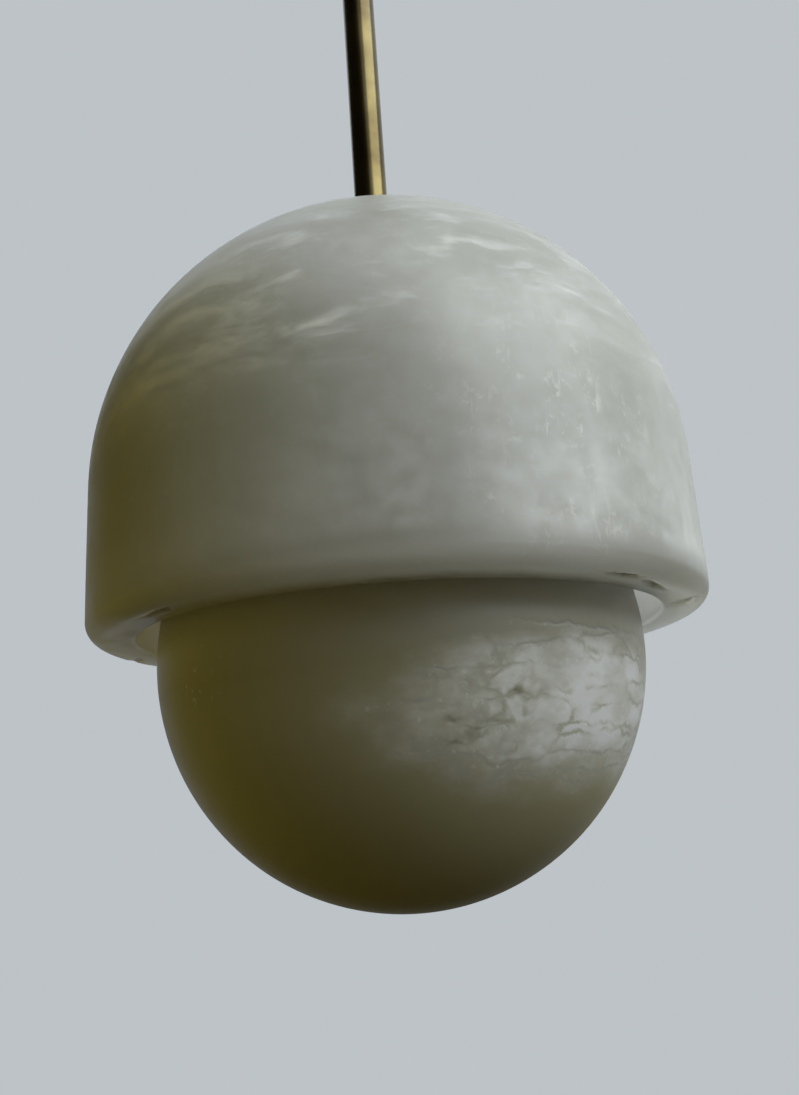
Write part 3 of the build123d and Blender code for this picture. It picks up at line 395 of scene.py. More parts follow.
shade_stone = bmesh.new()
hole_lean = math.asin(ROD_HOLE / SHADE_RADIUS)
seat_lean = math.acos(SEAT_RADIUS / shade_inner)
first = shade_stone.verts.new((ROD_HOLE, 0, dome_z + SHADE_RADIUS * math.cos(hole_lean)))
end = swing(shade_stone, first, 0, dome_z, math.pi / 2 - hole_lean, steps=84)
end = run(shade_stone, end, SHADE_RADIUS, rim_z + RIM_ROUND, steps=22)
end = swing(shade_stone, end, SHADE_RADIUS - RIM_ROUND, rim_z + RIM_ROUND, math.pi / 2, steps=10)
end = run(shade_stone, end, shade_inner + RIM_INNER_ROUND, rim_z, steps=5)
end = swing(shade_stone, end, shade_inner + RIM_INNER_ROUND, rim_z + RIM_INNER_ROUND, math.pi / 2, steps=5)
end = run(shade_stone, end, shade_inner, dome_z, steps=17)
end = swing(shade_stone, end, 0, dome_z, -seat_lean, steps=36)
end = run(shade_stone, end, ROD_HOLE, end.co.z, steps=6)
end = run(shade_stone, end, ROD_HOLE, first.co.z, steps=5)
turn(shade_stone)

# Each crack under the rim: angle round the axis, radius, length, width and slant.
RIM_CRACKS = ((-52, 76, 12, 1.8, 0), (-41, 74, 14, 1.8, 8), (-20, 74.5, 9, 5.0, 35),
              (33, 76, 11, 1.8, 10), (104, 73, 12, 1.8, -6), (171, 75, 8, 3.0, 40),
              (228, 74, 11, 1.8, 0))
CRACK_DEPTH = 0.7 * MM
cracks = []
for angle, radius, length, width, slant in RIM_CRACKS:
    lie = math.radians(angle + 90 + slant)
    along = Vector((math.cos(lie), math.sin(lie), 0))
    cracks.append((on_stone(angle, radius * MM, 0), along, length * MM, width * MM))
carve(shade_stone, cracks, CRACK_DEPTH)

# Alabaster shows light through its whole wall: clear stone lets it in deep and looks grey, and milky
# stone throws it back and looks white. White flecks lie in the wall, partly painted glints, and cracks are
# coloured darker. A clear, honey-stained zone on the left is partly painted shade, a milky patch high on the
# right is partly painted highlight, and a milky front of the rim is painted light. Each spot of these is
# full inside its heart and fades towards its edge.
alabaster, tree, shader, place = new_finish("polished_alabaster", 0.34)
BED_THICKNESS, BED_LENGTH, BED_WARP, BED_BEND, BED_DRIFT = 5.0, 22.0, 26.0, 12.0, 50.0
BED_SHIFT, BED_TILT = (100 * MM, 200 * MM, 300 * MM), (0.12, 0.16, 0.0)
BED_FOOT, BED_TOP, BED_HAZE = 23.0, 49.0, 0.66
STREAK, STREAK_SHARE = 1.3, 0.24
MOTTLE, MOTTLE_SHARE, MOTTLE_LEVEL = 4.0, 0.7, 0.33
RIM_HAZE_OUTSIDE, RIM_HAZE_INSIDE = 9.0, 30.0
CLOUD, FLECK, FLECK_PATCH, SCRATCH = 34.0, 1.7, 7.0, 1.7
SCRATCH_TILT, SCRATCH_STRETCH = (0.2, 0.15, 0.0), (1.0, 1.0, 0.22)
# The flecks gather on the lit right wall: they are partly the stone's own white marks and partly painted
# glints.
FLECK_AND_GLINT_SPOT = on_stone(-63, SHADE_RADIUS, 27 * MM)
FLECK_AND_GLINT_HEART, FLECK_AND_GLINT_EDGE, FLECK_AND_GLINT_ELSEWHERE = 10.2, 34.0, 0.12
# The clear zone and its honey stain on the shade's left are partly the stone's own colour and partly painted
# shade.
CLEAR_AND_SHADE_SPOT = on_stone(-146, SHADE_RADIUS, 34 * MM)
CLEAR_AND_SHADE_HEART, CLEAR_AND_SHADE_EDGE, CLEAR_AND_SHADE_HAZE, STAIN_AND_SHADE_EDGE, STAIN_AND_SHADE_SHARE = 16.4, 82.0, 0.3, 69.7, 0.9
# Milky patch high on the right: partly the stone's own milk, partly painted highlight.
MILK_AND_HIGHLIGHT_SPOT = on_stone(-48, 76 * MM, 60 * MM)
MILK_AND_HIGHLIGHT_EDGE, MILK_AND_HIGHLIGHT_FRAY, MILK_AND_HIGHLIGHT_SHARE = 16.0, 30.0, 0.8
# Painted light: the front of the rim is made milky and pale, to lift its underside.
RIM_PAINTED_LIGHT_SPOT = on_stone(-84, 77 * MM, 2 * MM)
RIM_PAINTED_LIGHT_HEART, RIM_PAINTED_LIGHT_EDGE, RIM_PAINTED_LIGHT_SHARE = 26.4, 66.0, 0.68
RIM_PAINTED_LIGHT_LOW, RIM_PAINTED_LIGHT_TOP = 3.0, 10.0
CLEAR_PATH, MILKY_PATH, ALABASTER_IOR = 180 * MM, 16 * MM, 1.52
shader.inputs["IOR"].default_value = ALABASTER_IOR
shader.inputs["Subsurface Radius"].default_value = (1.0, 1.0, 1.0)
bend = add(tree, "ShaderNodeTexNoise", {"Vector": place, "Scale": 1 / (BED_WARP * MM), "Detail": 2.0},
           output="Color")
along_bed = BED_THICKNESS / BED_LENGTH
bed_place = add(tree, "ShaderNodeMapping", {"Vector": place, "Location": BED_SHIFT, "Rotation": BED_TILT,
                                            "Scale": (along_bed, along_bed, 1.0)})
bed_place = add(tree, "ShaderNodeVectorMath", {0: bend, 1: (BED_BEND * MM,) * 3, 2: bed_place},
                operation="MULTIPLY_ADD")
beds = add(tree, "ShaderNodeTexNoise", {"Vector": bed_place, "Scale": 1 / (BED_THICKNESS * MM),
                                        "Detail": 9.0, "Roughness": 0.62})
streaks = add(tree, "ShaderNodeTexNoise", {"Vector": bed_place, "Scale": 1 / (STREAK * MM), "Detail": 3.0})
beds = add(tree, "ShaderNodeMath", {0: streaks, 1: STREAK_SHARE, 2: beds}, operation="MULTIPLY_ADD")
beds = add(tree, "ShaderNodeMapRange", {"Value": beds, "From Min": 0.45, "From Max": 0.83})
cloud = add(tree, "ShaderNodeTexNoise", {"Vector": place, "Scale": 1 / (CLOUD * MM), "Detail": 5.0})
height = add(tree, "ShaderNodeSeparateXYZ", {"Vector": place}, output="Z")
drift = add(tree, "ShaderNodeMath", {0: cloud, 1: BED_DRIFT * MM, 2: height}, operation="MULTIPLY_ADD")
drifted_rim = rim_z + BED_DRIFT * MM / 2
upper = add(tree, "ShaderNodeMapRange", {"Value": drift, "From Min": drifted_rim + BED_FOOT * MM,
                                         "From Max": drifted_rim + BED_TOP * MM})
milk = add(tree, "ShaderNodeMath", {0: beds, 1: upper}, operation="MULTIPLY")
# Painted highlight, partly real milk: a pale patch where the window light falls on the dome.
from_milk_and_highlight = add(tree, "ShaderNodeVectorMath", {0: place, 1: MILK_AND_HIGHLIGHT_SPOT}, operation="DISTANCE")
from_milk_and_highlight = add(tree, "ShaderNodeMath", {0: cloud, 1: -MILK_AND_HIGHLIGHT_FRAY * MM, 2: from_milk_and_highlight},
                operation="MULTIPLY_ADD")
milk_and_highlight_patch = add(tree, "ShaderNodeMapRange", {"Value": from_milk_and_highlight, "From Min": 0.0, "From Max": MILK_AND_HIGHLIGHT_EDGE * MM,
                                         "To Min": MILK_AND_HIGHLIGHT_SHARE, "To Max": 0.0},
            interpolation_type="SMOOTHSTEP")
feather = add(tree, "ShaderNodeMapRange", {"Value": beds, "To Min": 0.45})
milk_and_highlight_patch = add(tree, "ShaderNodeMath", {0: milk_and_highlight_patch, 1: feather}, operation="MULTIPLY")
milk = add(tree, "ShaderNodeMath", {0: milk, 1: milk_and_highlight_patch}, operation="MAXIMUM")
haze = add(tree, "ShaderNodeMapRange", {"Value": cloud, "From Min": 0.35, "From Max": 0.7, "To Min": 0.46,
                                        "To Max": 0.98})
from_axis = add(tree, "ShaderNodeVectorMath", {0: place, 1: (1.0, 1.0, 0.0)}, operation="MULTIPLY")
from_axis = add(tree, "ShaderNodeVectorMath", {0: from_axis}, operation="LENGTH")
rim_haze = add(tree, "ShaderNodeMapRange", {"Value": from_axis, "From Min": shade_inner,
                                            "From Max": SHADE_RADIUS,
                                            "To Min": rim_z + RIM_HAZE_INSIDE * MM,
                                            "To Max": rim_z + RIM_HAZE_OUTSIDE * MM})
above_rim = add(tree, "ShaderNodeMapRange", {"Value": height, "From Min": rim_z, "From Max": rim_haze})
mottle = add(tree, "ShaderNodeTexNoise", {"Vector": place, "Scale": 1 / (MOTTLE * MM), "Detail": 5.0})
haze = add(tree, "ShaderNodeMath", {0: mottle, 1: MOTTLE_SHARE, 2: haze}, operation="MULTIPLY_ADD")
haze = add(tree, "ShaderNodeMath", {0: haze, 1: MOTTLE_LEVEL}, operation="SUBTRACT")
haze = add(tree, "ShaderNodeMath", {0: haze, 1: above_rim}, operation="MULTIPLY")
below_beds = add(tree, "ShaderNodeMapRange", {"Value": upper, "To Min": 1.0, "To Max": BED_HAZE})
from_clear_and_shade = add(tree, "ShaderNodeVectorMath", {0: place, 1: CLEAR_AND_SHADE_SPOT}, operation="DISTANCE")
clearing_and_shade = add(tree, "ShaderNodeMapRange", {"Value": from_clear_and_shade, "From Min": CLEAR_AND_SHADE_HEART * MM,
                                            "From Max": CLEAR_AND_SHADE_EDGE * MM, "To Min": CLEAR_AND_SHADE_HAZE, "To Max": 1.0})
haze = add(tree, "ShaderNodeMath", {0: haze, 1: clearing_and_shade}, operation="MULTIPLY")
haze = add(tree, "ShaderNodeMath", {0: haze, 1: below_beds}, operation="MULTIPLY")
milk = add(tree, "ShaderNodeMath", {0: milk, 1: haze}, operation="MAXIMUM")
# Painted light at the front of the rim, made as milky stone.
from_rim_painted_light = add(tree, "ShaderNodeVectorMath", {0: place, 1: RIM_PAINTED_LIGHT_SPOT}, operation="DISTANCE")
rim_painted_light = add(tree, "ShaderNodeMapRange", {"Value": from_rim_painted_light, "From Min": RIM_PAINTED_LIGHT_HEART * MM,
                                            "From Max": RIM_PAINTED_LIGHT_EDGE * MM,
                                            "To Min": RIM_PAINTED_LIGHT_SHARE, "To Max": 0.0})
rim_painted_light_band = add(tree, "ShaderNodeMapRange", {"Value": height, "From Min": rim_z + RIM_PAINTED_LIGHT_LOW * MM,
                                            "From Max": rim_z + RIM_PAINTED_LIGHT_TOP * MM,
                                            "To Min": 1.0, "To Max": 0.0})
rim_painted_light = add(tree, "ShaderNodeMath", {0: rim_painted_light, 1: rim_painted_light_band}, operation="MULTIPLY")
milk = add(tree, "ShaderNodeMath", {0: milk, 1: rim_painted_light}, operation="MAXIMUM")
# White flecks and scratches: partly the stone's own marks, partly painted glints.
from_flecks_and_glints = add(tree, "ShaderNodeVectorMath", {0: place, 1: FLECK_AND_GLINT_SPOT}, operation="DISTANCE")
flecked_and_glinting = add(tree, "ShaderNodeMapRange", {"Value": from_flecks_and_glints, "From Min": FLECK_AND_GLINT_HEART * MM,
                                           "From Max": FLECK_AND_GLINT_EDGE * MM, "To Min": 1.0,
                                           "To Max": FLECK_AND_GLINT_ELSEWHERE})
specks_and_glints = add(tree, "ShaderNodeTexNoise", {"Vector": place, "Scale": 1 / (FLECK * MM), "Detail": 3.0,
                                         "Roughness": 0.6})
specks_and_glints = add(tree, "ShaderNodeMapRange", {"Value": specks_and_glints, "From Min": 0.54, "From Max": 0.66})
scratch_place = add(tree, "ShaderNodeMapping", {"Vector": place, "Rotation": SCRATCH_TILT,
                                                "Scale": SCRATCH_STRETCH})
scratches = add(tree, "ShaderNodeTexNoise", {"Vector": scratch_place, "Scale": 1 / (SCRATCH * MM),
                                             "Detail": 2.0, "Distortion": 0.6})
scratches = add(tree, "ShaderNodeMapRange", {"Value": scratches, "From Min": 0.6, "From Max": 0.68})
flecks_and_glints = add(tree, "ShaderNodeMath", {0: specks_and_glints, 1: scratches}, operation="MAXIMUM")
patches = add(tree, "ShaderNodeTexNoise", {"Vector": place, "Scale": 1 / (FLECK_PATCH * MM), "Detail": 2.0})
patches = add(tree, "ShaderNodeMapRange", {"Value": patches, "From Min": 0.44, "From Max": 0.6})
flecks_and_glints = add(tree, "ShaderNodeMath", {0: flecks_and_glints, 1: patches}, operation="MULTIPLY")
flecks_and_glints = add(tree, "ShaderNodeMath", {0: flecks_and_glints, 1: flecked_and_glinting}, operation="MULTIPLY")
powder = add(tree, "ShaderNodeMapRange", {"Value": flecks_and_glints, "To Min": 1.0, "To Max": 0.45})
tree.links.new(powder, shader.inputs["Subsurface Weight"])
colour = add(tree, "ShaderNodeMix", {"Factor": milk, "A": linear("#E5DDB4"), "B": linear("#F8F6E6")},
             data_type="RGBA")
# Honey stain over the clear zone on the left: partly stone colour, partly painted shade.
stain_and_shade = add(tree, "ShaderNodeMapRange", {"Value": from_clear_and_shade, "From Min": CLEAR_AND_SHADE_HEART * MM,
                                         "From Max": STAIN_AND_SHADE_EDGE * MM, "To Min": STAIN_AND_SHADE_SHARE, "To Max": 0.0})
colour = add(tree, "ShaderNodeMix", {"Factor": stain_and_shade, "A": colour, "B": linear("#E2CE80")}, data_type="RGBA")
path = add(tree, "ShaderNodeMapRange", {"Value": milk, "To Min": CLEAR_PATH, "To Max": MILKY_PATH})
tree.links.new(path, shader.inputs["Subsurface Scale"])
colour = add(tree, "ShaderNodeMix", {"Factor": flecks_and_glints, "A": colour, "B": linear("#FFFCEC")}, data_type="RGBA")
# Cracks are coloured darker where the scar layer is set.
scar = add(tree, "ShaderNodeAttribute", {}, output="Fac", attribute_name="scar")
colour = add(tree, "ShaderNodeMix", {"Factor": scar, "A": colour, "B": linear("#5C5744")}, data_type="RGBA")
tree.links.new(colour, shader.inputs["Base Color"])
rough = add(tree, "ShaderNodeMapRange", {"Value": patches, "To Min": 0.3, "To Max": 0.38})
tree.links.new(rough, shader.inputs["Roughness"])
bump = add(tree, "ShaderNodeBump", {"Height": flecks_and_glints, "Strength": 0.25, "Distance": 0.1 * MM})
tree.links.new(bump, shader.inputs["Normal"])
stone_piece("shade", shade_stone, "stem", alabaster)

# Globe: a hollow ball from a greyer block, turned with a mouth on top and cemented to its bayonet ring.
# A crackled white bed with grey seams and open pits runs through it, and shows in front and behind.
globe_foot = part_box("globe")[0].z
GLOBE_RADIUS, GLOBE_WALL = 63 * MM, 11 * MM
MOUTH_RADIUS, LIP_RADIUS, LIP_ROUND = 35 * MM, 46 * MM, 1.5 * MM
globe_z = globe_foot + GLOBE_RADIUS
globe_inner = GLOBE_RADIUS - GLOBE_WALL
lip_z = globe_z + math.sqrt(GLOBE_RADIUS ** 2 - LIP_RADIUS ** 2)
round_z = lip_z - LIP_ROUND
round_x = math.sqrt((GLOBE_RADIUS - LIP_ROUND) ** 2 - (round_z - globe_z) ** 2)
round_lean = math.atan2(round_x, round_z - globe_z)
throat_lean = math.pi - math.asin(MOUTH_RADIUS / globe_inner)
globe_stone = bmesh.new()
end = globe_stone.verts.new((0, 0, globe_foot))
end = swing(globe_stone, end, 0, globe_z, round_lean - math.pi, steps=150)
end = swing(globe_stone, end, round_x, round_z, -round_lean, steps=4)
end = run(globe_stone, end, MOUTH_RADIUS, lip_z, steps=4)
end = run(globe_stone, end, MOUTH_RADIUS, globe_z + math.sqrt(globe_inner ** 2 - MOUTH_RADIUS ** 2), steps=3)
swing(globe_stone, end, 0, globe_z, throat_lean, steps=60)
turn(globe_stone)

# Each pit: angle round the axis, height above the rim, length and width.
PITS = ((-77, -29.2, 3.4, 2.6), (-81, -26.5, 3.2, 1.6), (-72, -27.4, 4.2, 1.5),
        (-80.5, -31, 2.6, 1.6), (-68, -21.8, 3.4, 2.0), (-66, -26, 1.6, 2.2),
        (128, -20, 3.2, 2.2), (141, -31, 2.4, 2.0), (116, -26, 4.0, 1.4))
PIT_DEPTH = 0.45 * MM
pits = []
for angle, above_rim, length, width in PITS:
    ball_height = rim_z + above_rim * MM - globe_z
    spot = on_stone(angle, math.sqrt(GLOBE_RADIUS ** 2 - ball_height ** 2), above_rim * MM)
    round_globe = Vector((-spot.y, spot.x, 0)).normalized()
    pits.append((spot, round_globe, length * MM, width * MM))
carve(globe_stone, pits, PIT_DEPTH)

# The white bed throws light back, and the greyer stone round it lets light in deep. Thin grey seams
# break the bed up, and the stone is painted milky towards the mouth: painted light that lifts the rim's
# shadow.
crackled, tree, shader, place = new_finish("crackled_alabaster", 0.36)
SEAM_LENGTH, SEAM_STEP, SEAM_WIDTH, SEAM_CORE = 30.0, 4.7, 0.65, 0.065
SEAM_WARP, SEAM_BEND, SEAM_BREAK, SEAM_TILT = 7.0, 5.0, 9.0, (0.1, -0.12, 0.0)
CRACKLE_SPOTS = (on_stone(-47, 60 * MM, -24 * MM), on_stone(125, 60 * MM, -25 * MM))
CRACKLE_HEART, CRACKLE_EDGE, CRACKLE_FRAY, CRACKLE_FLAT = 3.6, 47.0, 30.0, Vector((1.0, 1.0, 2.8))
PUFF, PUFF_STRETCH = 8.0, (0.6, 0.6, 1.0)
SCUFF_AND_GLINT_SPOT, SCUFF_AND_GLINT_SPREAD = on_stone(-135, 62.5 * MM, -12 * MM), 13.0
COLLAR_PAINTED_LIGHT_FOOT, COLLAR_PAINTED_LIGHT_SHARE, PIT_DARKENING = 14.0, 0.55, 0.5
GLOBE_CLEAR_PATH, GLOBE_MILKY_PATH = 70 * MM, 9 * MM
shader.inputs["IOR"].default_value = ALABASTER_IOR
shader.inputs["Subsurface Weight"].default_value = 1.0
shader.inputs["Subsurface Radius"].default_value = (1.0, 1.0, 1.0)
puff_place = add(tree, "ShaderNodeMapping", {"Vector": place, "Scale": PUFF_STRETCH})
cloud = add(tree, "ShaderNodeTexNoise", {"Vector": puff_place, "Scale": 1 / (PUFF * MM), "Detail": 8.0,
                                         "Roughness": 0.62})
flat_place = add(tree, "ShaderNodeVectorMath", {0: place, 1: CRACKLE_FLAT}, operation="MULTIPLY")
near_bed = [add(tree, "ShaderNodeVectorMath", {0: flat_place, 1: spot * CRACKLE_FLAT}, operation="DISTANCE")
            for spot in CRACKLE_SPOTS]
near_bed = add(tree, "ShaderNodeMath", {0: near_bed[0], 1: near_bed[1]}, operation="MINIMUM")
near_bed = add(tree, "ShaderNodeMath", {0: cloud, 1: -CRACKLE_FRAY * MM, 2: near_bed},
               operation="MULTIPLY_ADD")
white_bed = add(tree, "ShaderNodeMapRange", {"Value": near_bed, "From Min": CRACKLE_HEART * MM,
                                             "From Max": CRACKLE_EDGE * MM, "To Min": 1.0, "To Max": 0.0},
                interpolation_type="SMOOTHSTEP")
puffs = add(tree, "ShaderNodeMapRange", {"Value": cloud, "From Min": 0.36, "From Max": 0.6, "To Min": 0.6})
milk = add(tree, "ShaderNodeMath", {0: white_bed, 1: puffs}, operation="MULTIPLY")
height = add(tree, "ShaderNodeSeparateXYZ", {"Vector": place}, output="Z")
# Painted light: paler, milkier stone towards the mouth, under the shade's rim.
collar_painted_light = add(tree, "ShaderNodeMapRange", {"Value": height, "From Min": rim_z - COLLAR_PAINTED_LIGHT_FOOT * MM,
                                          "From Max": rim_z, "To Max": COLLAR_PAINTED_LIGHT_SHARE})
milk = add(tree, "ShaderNodeMath", {0: milk, 1: collar_painted_light}, operation="MAXIMUM")
colour = add(tree, "ShaderNodeMix", {"Factor": milk, "A": linear("#B8B18C"), "B": linear("#FFFFFA")},
             data_type="RGBA")
path = add(tree, "ShaderNodeMapRange", {"Value": milk, "To Min": GLOBE_CLEAR_PATH,
                                        "To Max": GLOBE_MILKY_PATH})
tree.links.new(path, shader.inputs["Subsurface Scale"])
bend = add(tree, "ShaderNodeTexNoise", {"Vector": place, "Scale": 1 / (SEAM_WARP * MM), "Detail": 4.0},
           output="Color")
along_seam = SEAM_STEP / SEAM_LENGTH
seam_place = add(tree, "ShaderNodeMapping", {"Vector": place, "Rotation": SEAM_TILT,
                                             "Scale": (along_seam, along_seam, 1.0)})
seam_place = add(tree, "ShaderNodeVectorMath", {0: bend, 1: (SEAM_BEND * MM,) * 3, 2: seam_place},
                 operation="MULTIPLY_ADD")
seams = add(tree, "ShaderNodeTexVoronoi", {"Vector": seam_place, "Scale": 1 / (SEAM_STEP * MM)},
            feature="DISTANCE_TO_EDGE")
seams = add(tree, "ShaderNodeMapRange", {"Value": seams, "From Min": SEAM_CORE / SEAM_STEP,
                                         "From Max": SEAM_WIDTH / SEAM_STEP, "To Min": 1.0, "To Max": 0.0})
broken = add(tree, "ShaderNodeTexNoise", {"Vector": place, "Scale": 1 / (SEAM_BREAK * MM), "Detail": 3.0})
broken = add(tree, "ShaderNodeMapRange", {"Value": broken, "From Min": 0.34, "From Max": 0.54})
seams = add(tree, "ShaderNodeMath", {0: seams, 1: broken}, operation="MULTIPLY")
crazed = add(tree, "ShaderNodeMapRange", {"Value": white_bed, "From Min": 0.05, "From Max": 0.4})
seams = add(tree, "ShaderNodeMath", {0: seams, 1: crazed}, operation="MULTIPLY")
colour = add(tree, "ShaderNodeMix", {"Factor": seams, "A": colour, "B": linear("#C6C4B6")}, data_type="RGBA")
# White specks in the bed and a scuff on the left: partly the stone's own marks, partly painted glints.
specks_and_glints = add(tree, "ShaderNodeTexNoise", {"Vector": place, "Scale": 1 / (FLECK * MM), "Detail": 3.0})
specks_and_glints = add(tree, "ShaderNodeMapRange", {"Value": specks_and_glints, "From Min": 0.64, "From Max": 0.74})
from_scuff_and_glint = add(tree, "ShaderNodeVectorMath", {0: place, 1: SCUFF_AND_GLINT_SPOT}, operation="DISTANCE")
scuff_and_glint = add(tree, "ShaderNodeMapRange", {"Value": from_scuff_and_glint, "From Max": SCUFF_AND_GLINT_SPREAD * MM, "To Min": 1.0,
                                         "To Max": 0.0})
scuffed_and_glinting = add(tree, "ShaderNodeMath", {0: white_bed, 1: scuff_and_glint}, operation="MAXIMUM")
specks_and_glints = add(tree, "ShaderNodeMath", {0: specks_and_glints, 1: scuffed_and_glinting}, operation="MULTIPLY")
colour = add(tree, "ShaderNodeMix", {"Factor": specks_and_glints, "A": colour, "B": linear("#FFFEF6")}, data_type="RGBA")
# Pits are coloured darker where the scar layer is set.
scar = add(tree, "ShaderNodeAttribute", {}, output="Fac", attribute_name="scar")
scar = add(tree, "ShaderNodeMath", {0: scar, 1: PIT_DARKENING}, operation="MULTIPLY")
colour = add(tree, "ShaderNodeMix", {"Factor": scar, "A": colour, "B": linear("#8E8A75")}, data_type="RGBA")
tree.links.new(colour, shader.inputs["Base Color"])
rough = add(tree, "ShaderNodeMapRange", {"Value": cloud, "To Min": 0.3, "To Max": 0.42})
tree.links.new(rough, shader.inputs["Roughness"])
bump = add(tree, "ShaderNodeBump", {"Height": seams, "Strength": 0.6, "Distance": -0.15 * MM})
tree.links.new(bump, shader.inputs["Normal"])
stone_piece("globe", globe_stone, "globe", crackled)

# Camera at the photograph's place: close under the rim, tipped up and rolled with the hanging lamp.
# Its lens follows from the photograph's height and its focal length, both in pixels.
IMAGE_HEIGHT, FOCAL_PIXELS, SENSOR_WIDTH = 1095, 900, 36.0
CAMERA_DISTANCE, CAMERA_DROP, CAMERA_NEAREST = 239.9 * MM, 37.9 * MM, 10 * MM
CAMERA_YAW, CAMERA_PITCH, CAMERA_ROLL = 0.0064, 0.2558, -0.0675
camera = bpy.data.cameras.new("camera")
camera.sensor_width = SENSOR_WIDTH
camera.lens = FOCAL_PIXELS / IMAGE_HEIGHT * SENSOR_WIDTH
camera.clip_start = CAMERA_NEAREST
viewer = bpy.data.objects.new("camera", camera)
bpy.context.scene.collection.objects.link(viewer)
viewer.matrix_world = (
    Matrix.Translation((0, -CAMERA_DISTANCE, rim_z - CAMERA_DROP))
    @ Matrix.Rotation(-CAMERA_YAW, 4, "Z")
    @ Matrix.Rotation(math.pi / 2 + CAMERA_PITCH, 4, "X")
    @ Matrix.Rotation(CAMERA_ROLL, 4, "Z")
)
bpy.context.scene.camera = viewer

# Studio: a pale room with one large soft window lamp. A dark warm cloth stands round the pendant, open
# above on the right, and is paler low on the left and at the back. It only colours the light, so the
# camera looks through it.
ROOM_COLOUR = "#BDC3C7"
LAMP_MIDDLE = 20 * MM
CLOTH_DISTANCE, CLOTH_WALL = 2.5, 0.4
CLOTH_LEVELS = ((-1.6, "#2A2612"), (-0.2, "#524A26"), (1.2, "#1B160A"))
OPEN_SIDE = Vector((0.85, 0.35, 0.4)).normalized()
LEFT_START, LEFT_FULL, LEFT_TOP, LEFT_FOOT = -1.0, -2.4, 0.9, 0.2
BACK_START, BACK_FULL, BACK_FOOT, BACK_TOP = 1.2, 2.2, -1.5, -0.3
WINDOW_PLACE, WINDOW_WIDTH, WINDOW_HEIGHT, WINDOW_POWER = Vector((1.29, -0.84, 1.1)), 1.8, 1.6, 26.5
WINDOW_COLOUR = (0.9, 0.96, 1.0)
world = bpy.data.worlds.new("studio")
bpy.context.scene.world = world
world.use_nodes = True
world.node_tree.nodes["Background"].inputs["Color"].default_value = linear(ROOM_COLOUR)
world.node_tree.nodes["Background"].inputs["Strength"].default_value = 1.0
bpy.context.scene.view_settings.view_transform = "Standard"
lamp_middle = Vector((0, 0, rim_z + LAMP_MIDDLE))
cloth_mesh = bpy.data.meshes.new("dark_cloth")
drape = bmesh.new()
bmesh.ops.create_uvsphere(drape, u_segments=64, v_segments=32, radius=CLOTH_DISTANCE)
top = [face for face in drape.faces if face.calc_center_median().z > CLOTH_WALL]
top_edges = list({edge for face in top for edge in face.edges})
top_vertices = list({vertex for face in top for vertex in face.verts})
bmesh.ops.bisect_plane(drape, geom=top + top_edges + top_vertices, plane_no=OPEN_SIDE, clear_outer=True)
bmesh.ops.translate(drape, verts=drape.verts, vec=lamp_middle)
drape.to_mesh(cloth_mesh)
drape.free()
cloth = bpy.data.objects.new("dark_cloth", cloth_mesh)
bpy.context.scene.collection.objects.link(cloth)
cloth.visible_camera = False
felt, tree, shader, place = new_finish("dark_cloth", 1.0)
shader.inputs["Base Color"].default_value = linear("#000000")
shader.inputs["Emission Strength"].default_value = 1.0
height = add(tree, "ShaderNodeSeparateXYZ", {"Vector": place}, output="Z")
(low, dark), (middle, warm), (high, shadow) = CLOTH_LEVELS
rise = add(tree, "ShaderNodeMapRange", {"Value": height, "From Min": lamp_middle.z + low,
                                        "From Max": lamp_middle.z + middle})
glow = add(tree, "ShaderNodeMix", {"Factor": rise, "A": linear(dark), "B": linear(warm)}, data_type="RGBA")
rise = add(tree, "ShaderNodeMapRange", {"Value": height, "From Min": lamp_middle.z + middle,
                                        "From Max": lamp_middle.z + high})
glow = add(tree, "ShaderNodeMix", {"Factor": rise, "A": glow, "B": linear(shadow)}, data_type="RGBA")
left = add(tree, "ShaderNodeSeparateXYZ", {"Vector": place}, output="X")
left = add(tree, "ShaderNodeMapRange", {"Value": left, "From Min": LEFT_START, "From Max": LEFT_FULL})
low_left = add(tree, "ShaderNodeMapRange", {"Value": height, "From Min": lamp_middle.z + LEFT_TOP,
                                            "From Max": lamp_middle.z + LEFT_FOOT})
left = add(tree, "ShaderNodeMath", {0: left, 1: low_left}, operation="MULTIPLY")
glow = add(tree, "ShaderNodeMix", {"Factor": left, "A": glow, "B": linear("#8B7F39")}, data_type="RGBA")
back = add(tree, "ShaderNodeSeparateXYZ", {"Vector": place}, output="Y")
back = add(tree, "ShaderNodeMapRange", {"Value": back, "From Min": BACK_START, "From Max": BACK_FULL})
high_back = add(tree, "ShaderNodeMapRange", {"Value": height, "From Min": lamp_middle.z + BACK_FOOT,
                                             "From Max": lamp_middle.z + BACK_TOP})
back = add(tree, "ShaderNodeMath", {0: back, 1: high_back}, operation="MULTIPLY")
glow = add(tree, "ShaderNodeMix", {"Factor": back, "A": glow, "B": linear("#8F949A")}, data_type="RGBA")
tree.links.new(glow, shader.inputs["Emission Color"])
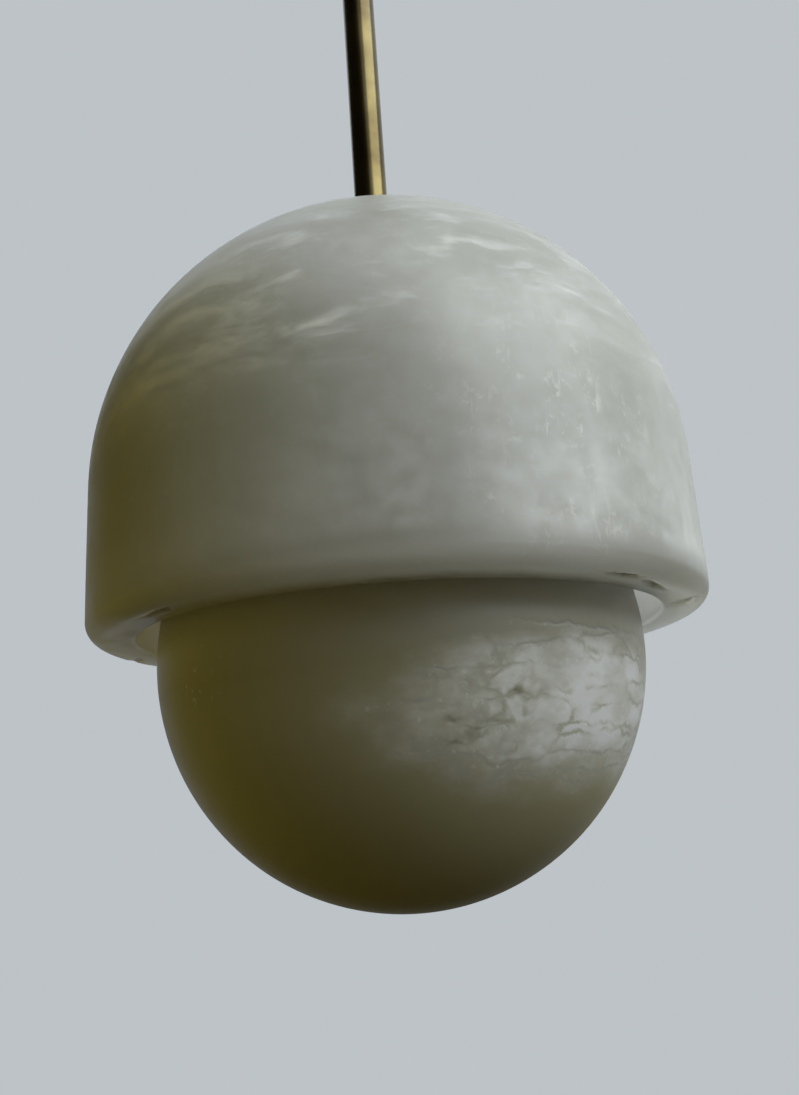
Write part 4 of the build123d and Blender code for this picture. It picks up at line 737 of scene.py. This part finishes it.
cloth_mesh.materials.append(felt)
window = bpy.data.lights.new("window", "AREA")
window.shape = "RECTANGLE"
window.size = WINDOW_WIDTH
window.size_y = WINDOW_HEIGHT
window.energy = WINDOW_POWER
window.color = WINDOW_COLOUR
daylight = bpy.data.objects.new("window", window)
bpy.context.scene.collection.objects.link(daylight)
daylight.location = lamp_middle + WINDOW_PLACE
daylight.rotation_euler = (-WINDOW_PLACE).to_track_quat("-Z", "Y").to_euler()

# Floor: a plain pale sheet well below the lamp, out of the photograph's view. Towards its
# edge it fades into the room's own colour.
FLOOR_DROP, FLOOR_RADIUS, FLOOR_PLAIN, FLOOR_FADE = 0.6, 1.9, 0.3, 1.5
floor_mesh = bpy.data.meshes.new("floor")
sheet = bmesh.new()
bmesh.ops.create_circle(sheet, cap_ends=True, segments=96, radius=FLOOR_RADIUS)
bmesh.ops.translate(sheet, verts=sheet.verts, vec=(0, 0, cad_box[0][2] - FLOOR_DROP))
sheet.to_mesh(floor_mesh)
sheet.free()
floor = bpy.data.objects.new("floor", floor_mesh)
bpy.context.scene.collection.objects.link(floor)
floor.visible_diffuse = False
floor.visible_glossy = False
paper, tree, shader, place = new_finish("floor_paper", 0.9)
paper.cycles.emission_sampling = "NONE"
shader.inputs["Specular IOR Level"].default_value = 0.0
shader.inputs["Emission Color"].default_value = linear(ROOM_COLOUR)
from_middle = add(tree, "ShaderNodeVectorMath", {0: place, 1: (1.0, 1.0, 0.0)}, operation="MULTIPLY")
from_middle = add(tree, "ShaderNodeVectorMath", {0: from_middle}, operation="LENGTH")
fade = add(tree, "ShaderNodeMapRange", {"Value": from_middle, "From Min": FLOOR_PLAIN,
                                        "From Max": FLOOR_FADE}, interpolation_type="SMOOTHSTEP")
tree.links.new(fade, shader.inputs["Emission Strength"])
colour = add(tree, "ShaderNodeMix", {"Factor": fade, "A": linear("#C9CDD0"), "B": linear("#000000")},
             data_type="RGBA")
tree.links.new(colour, shader.inputs["Base Color"])
floor_mesh.materials.append(paper)
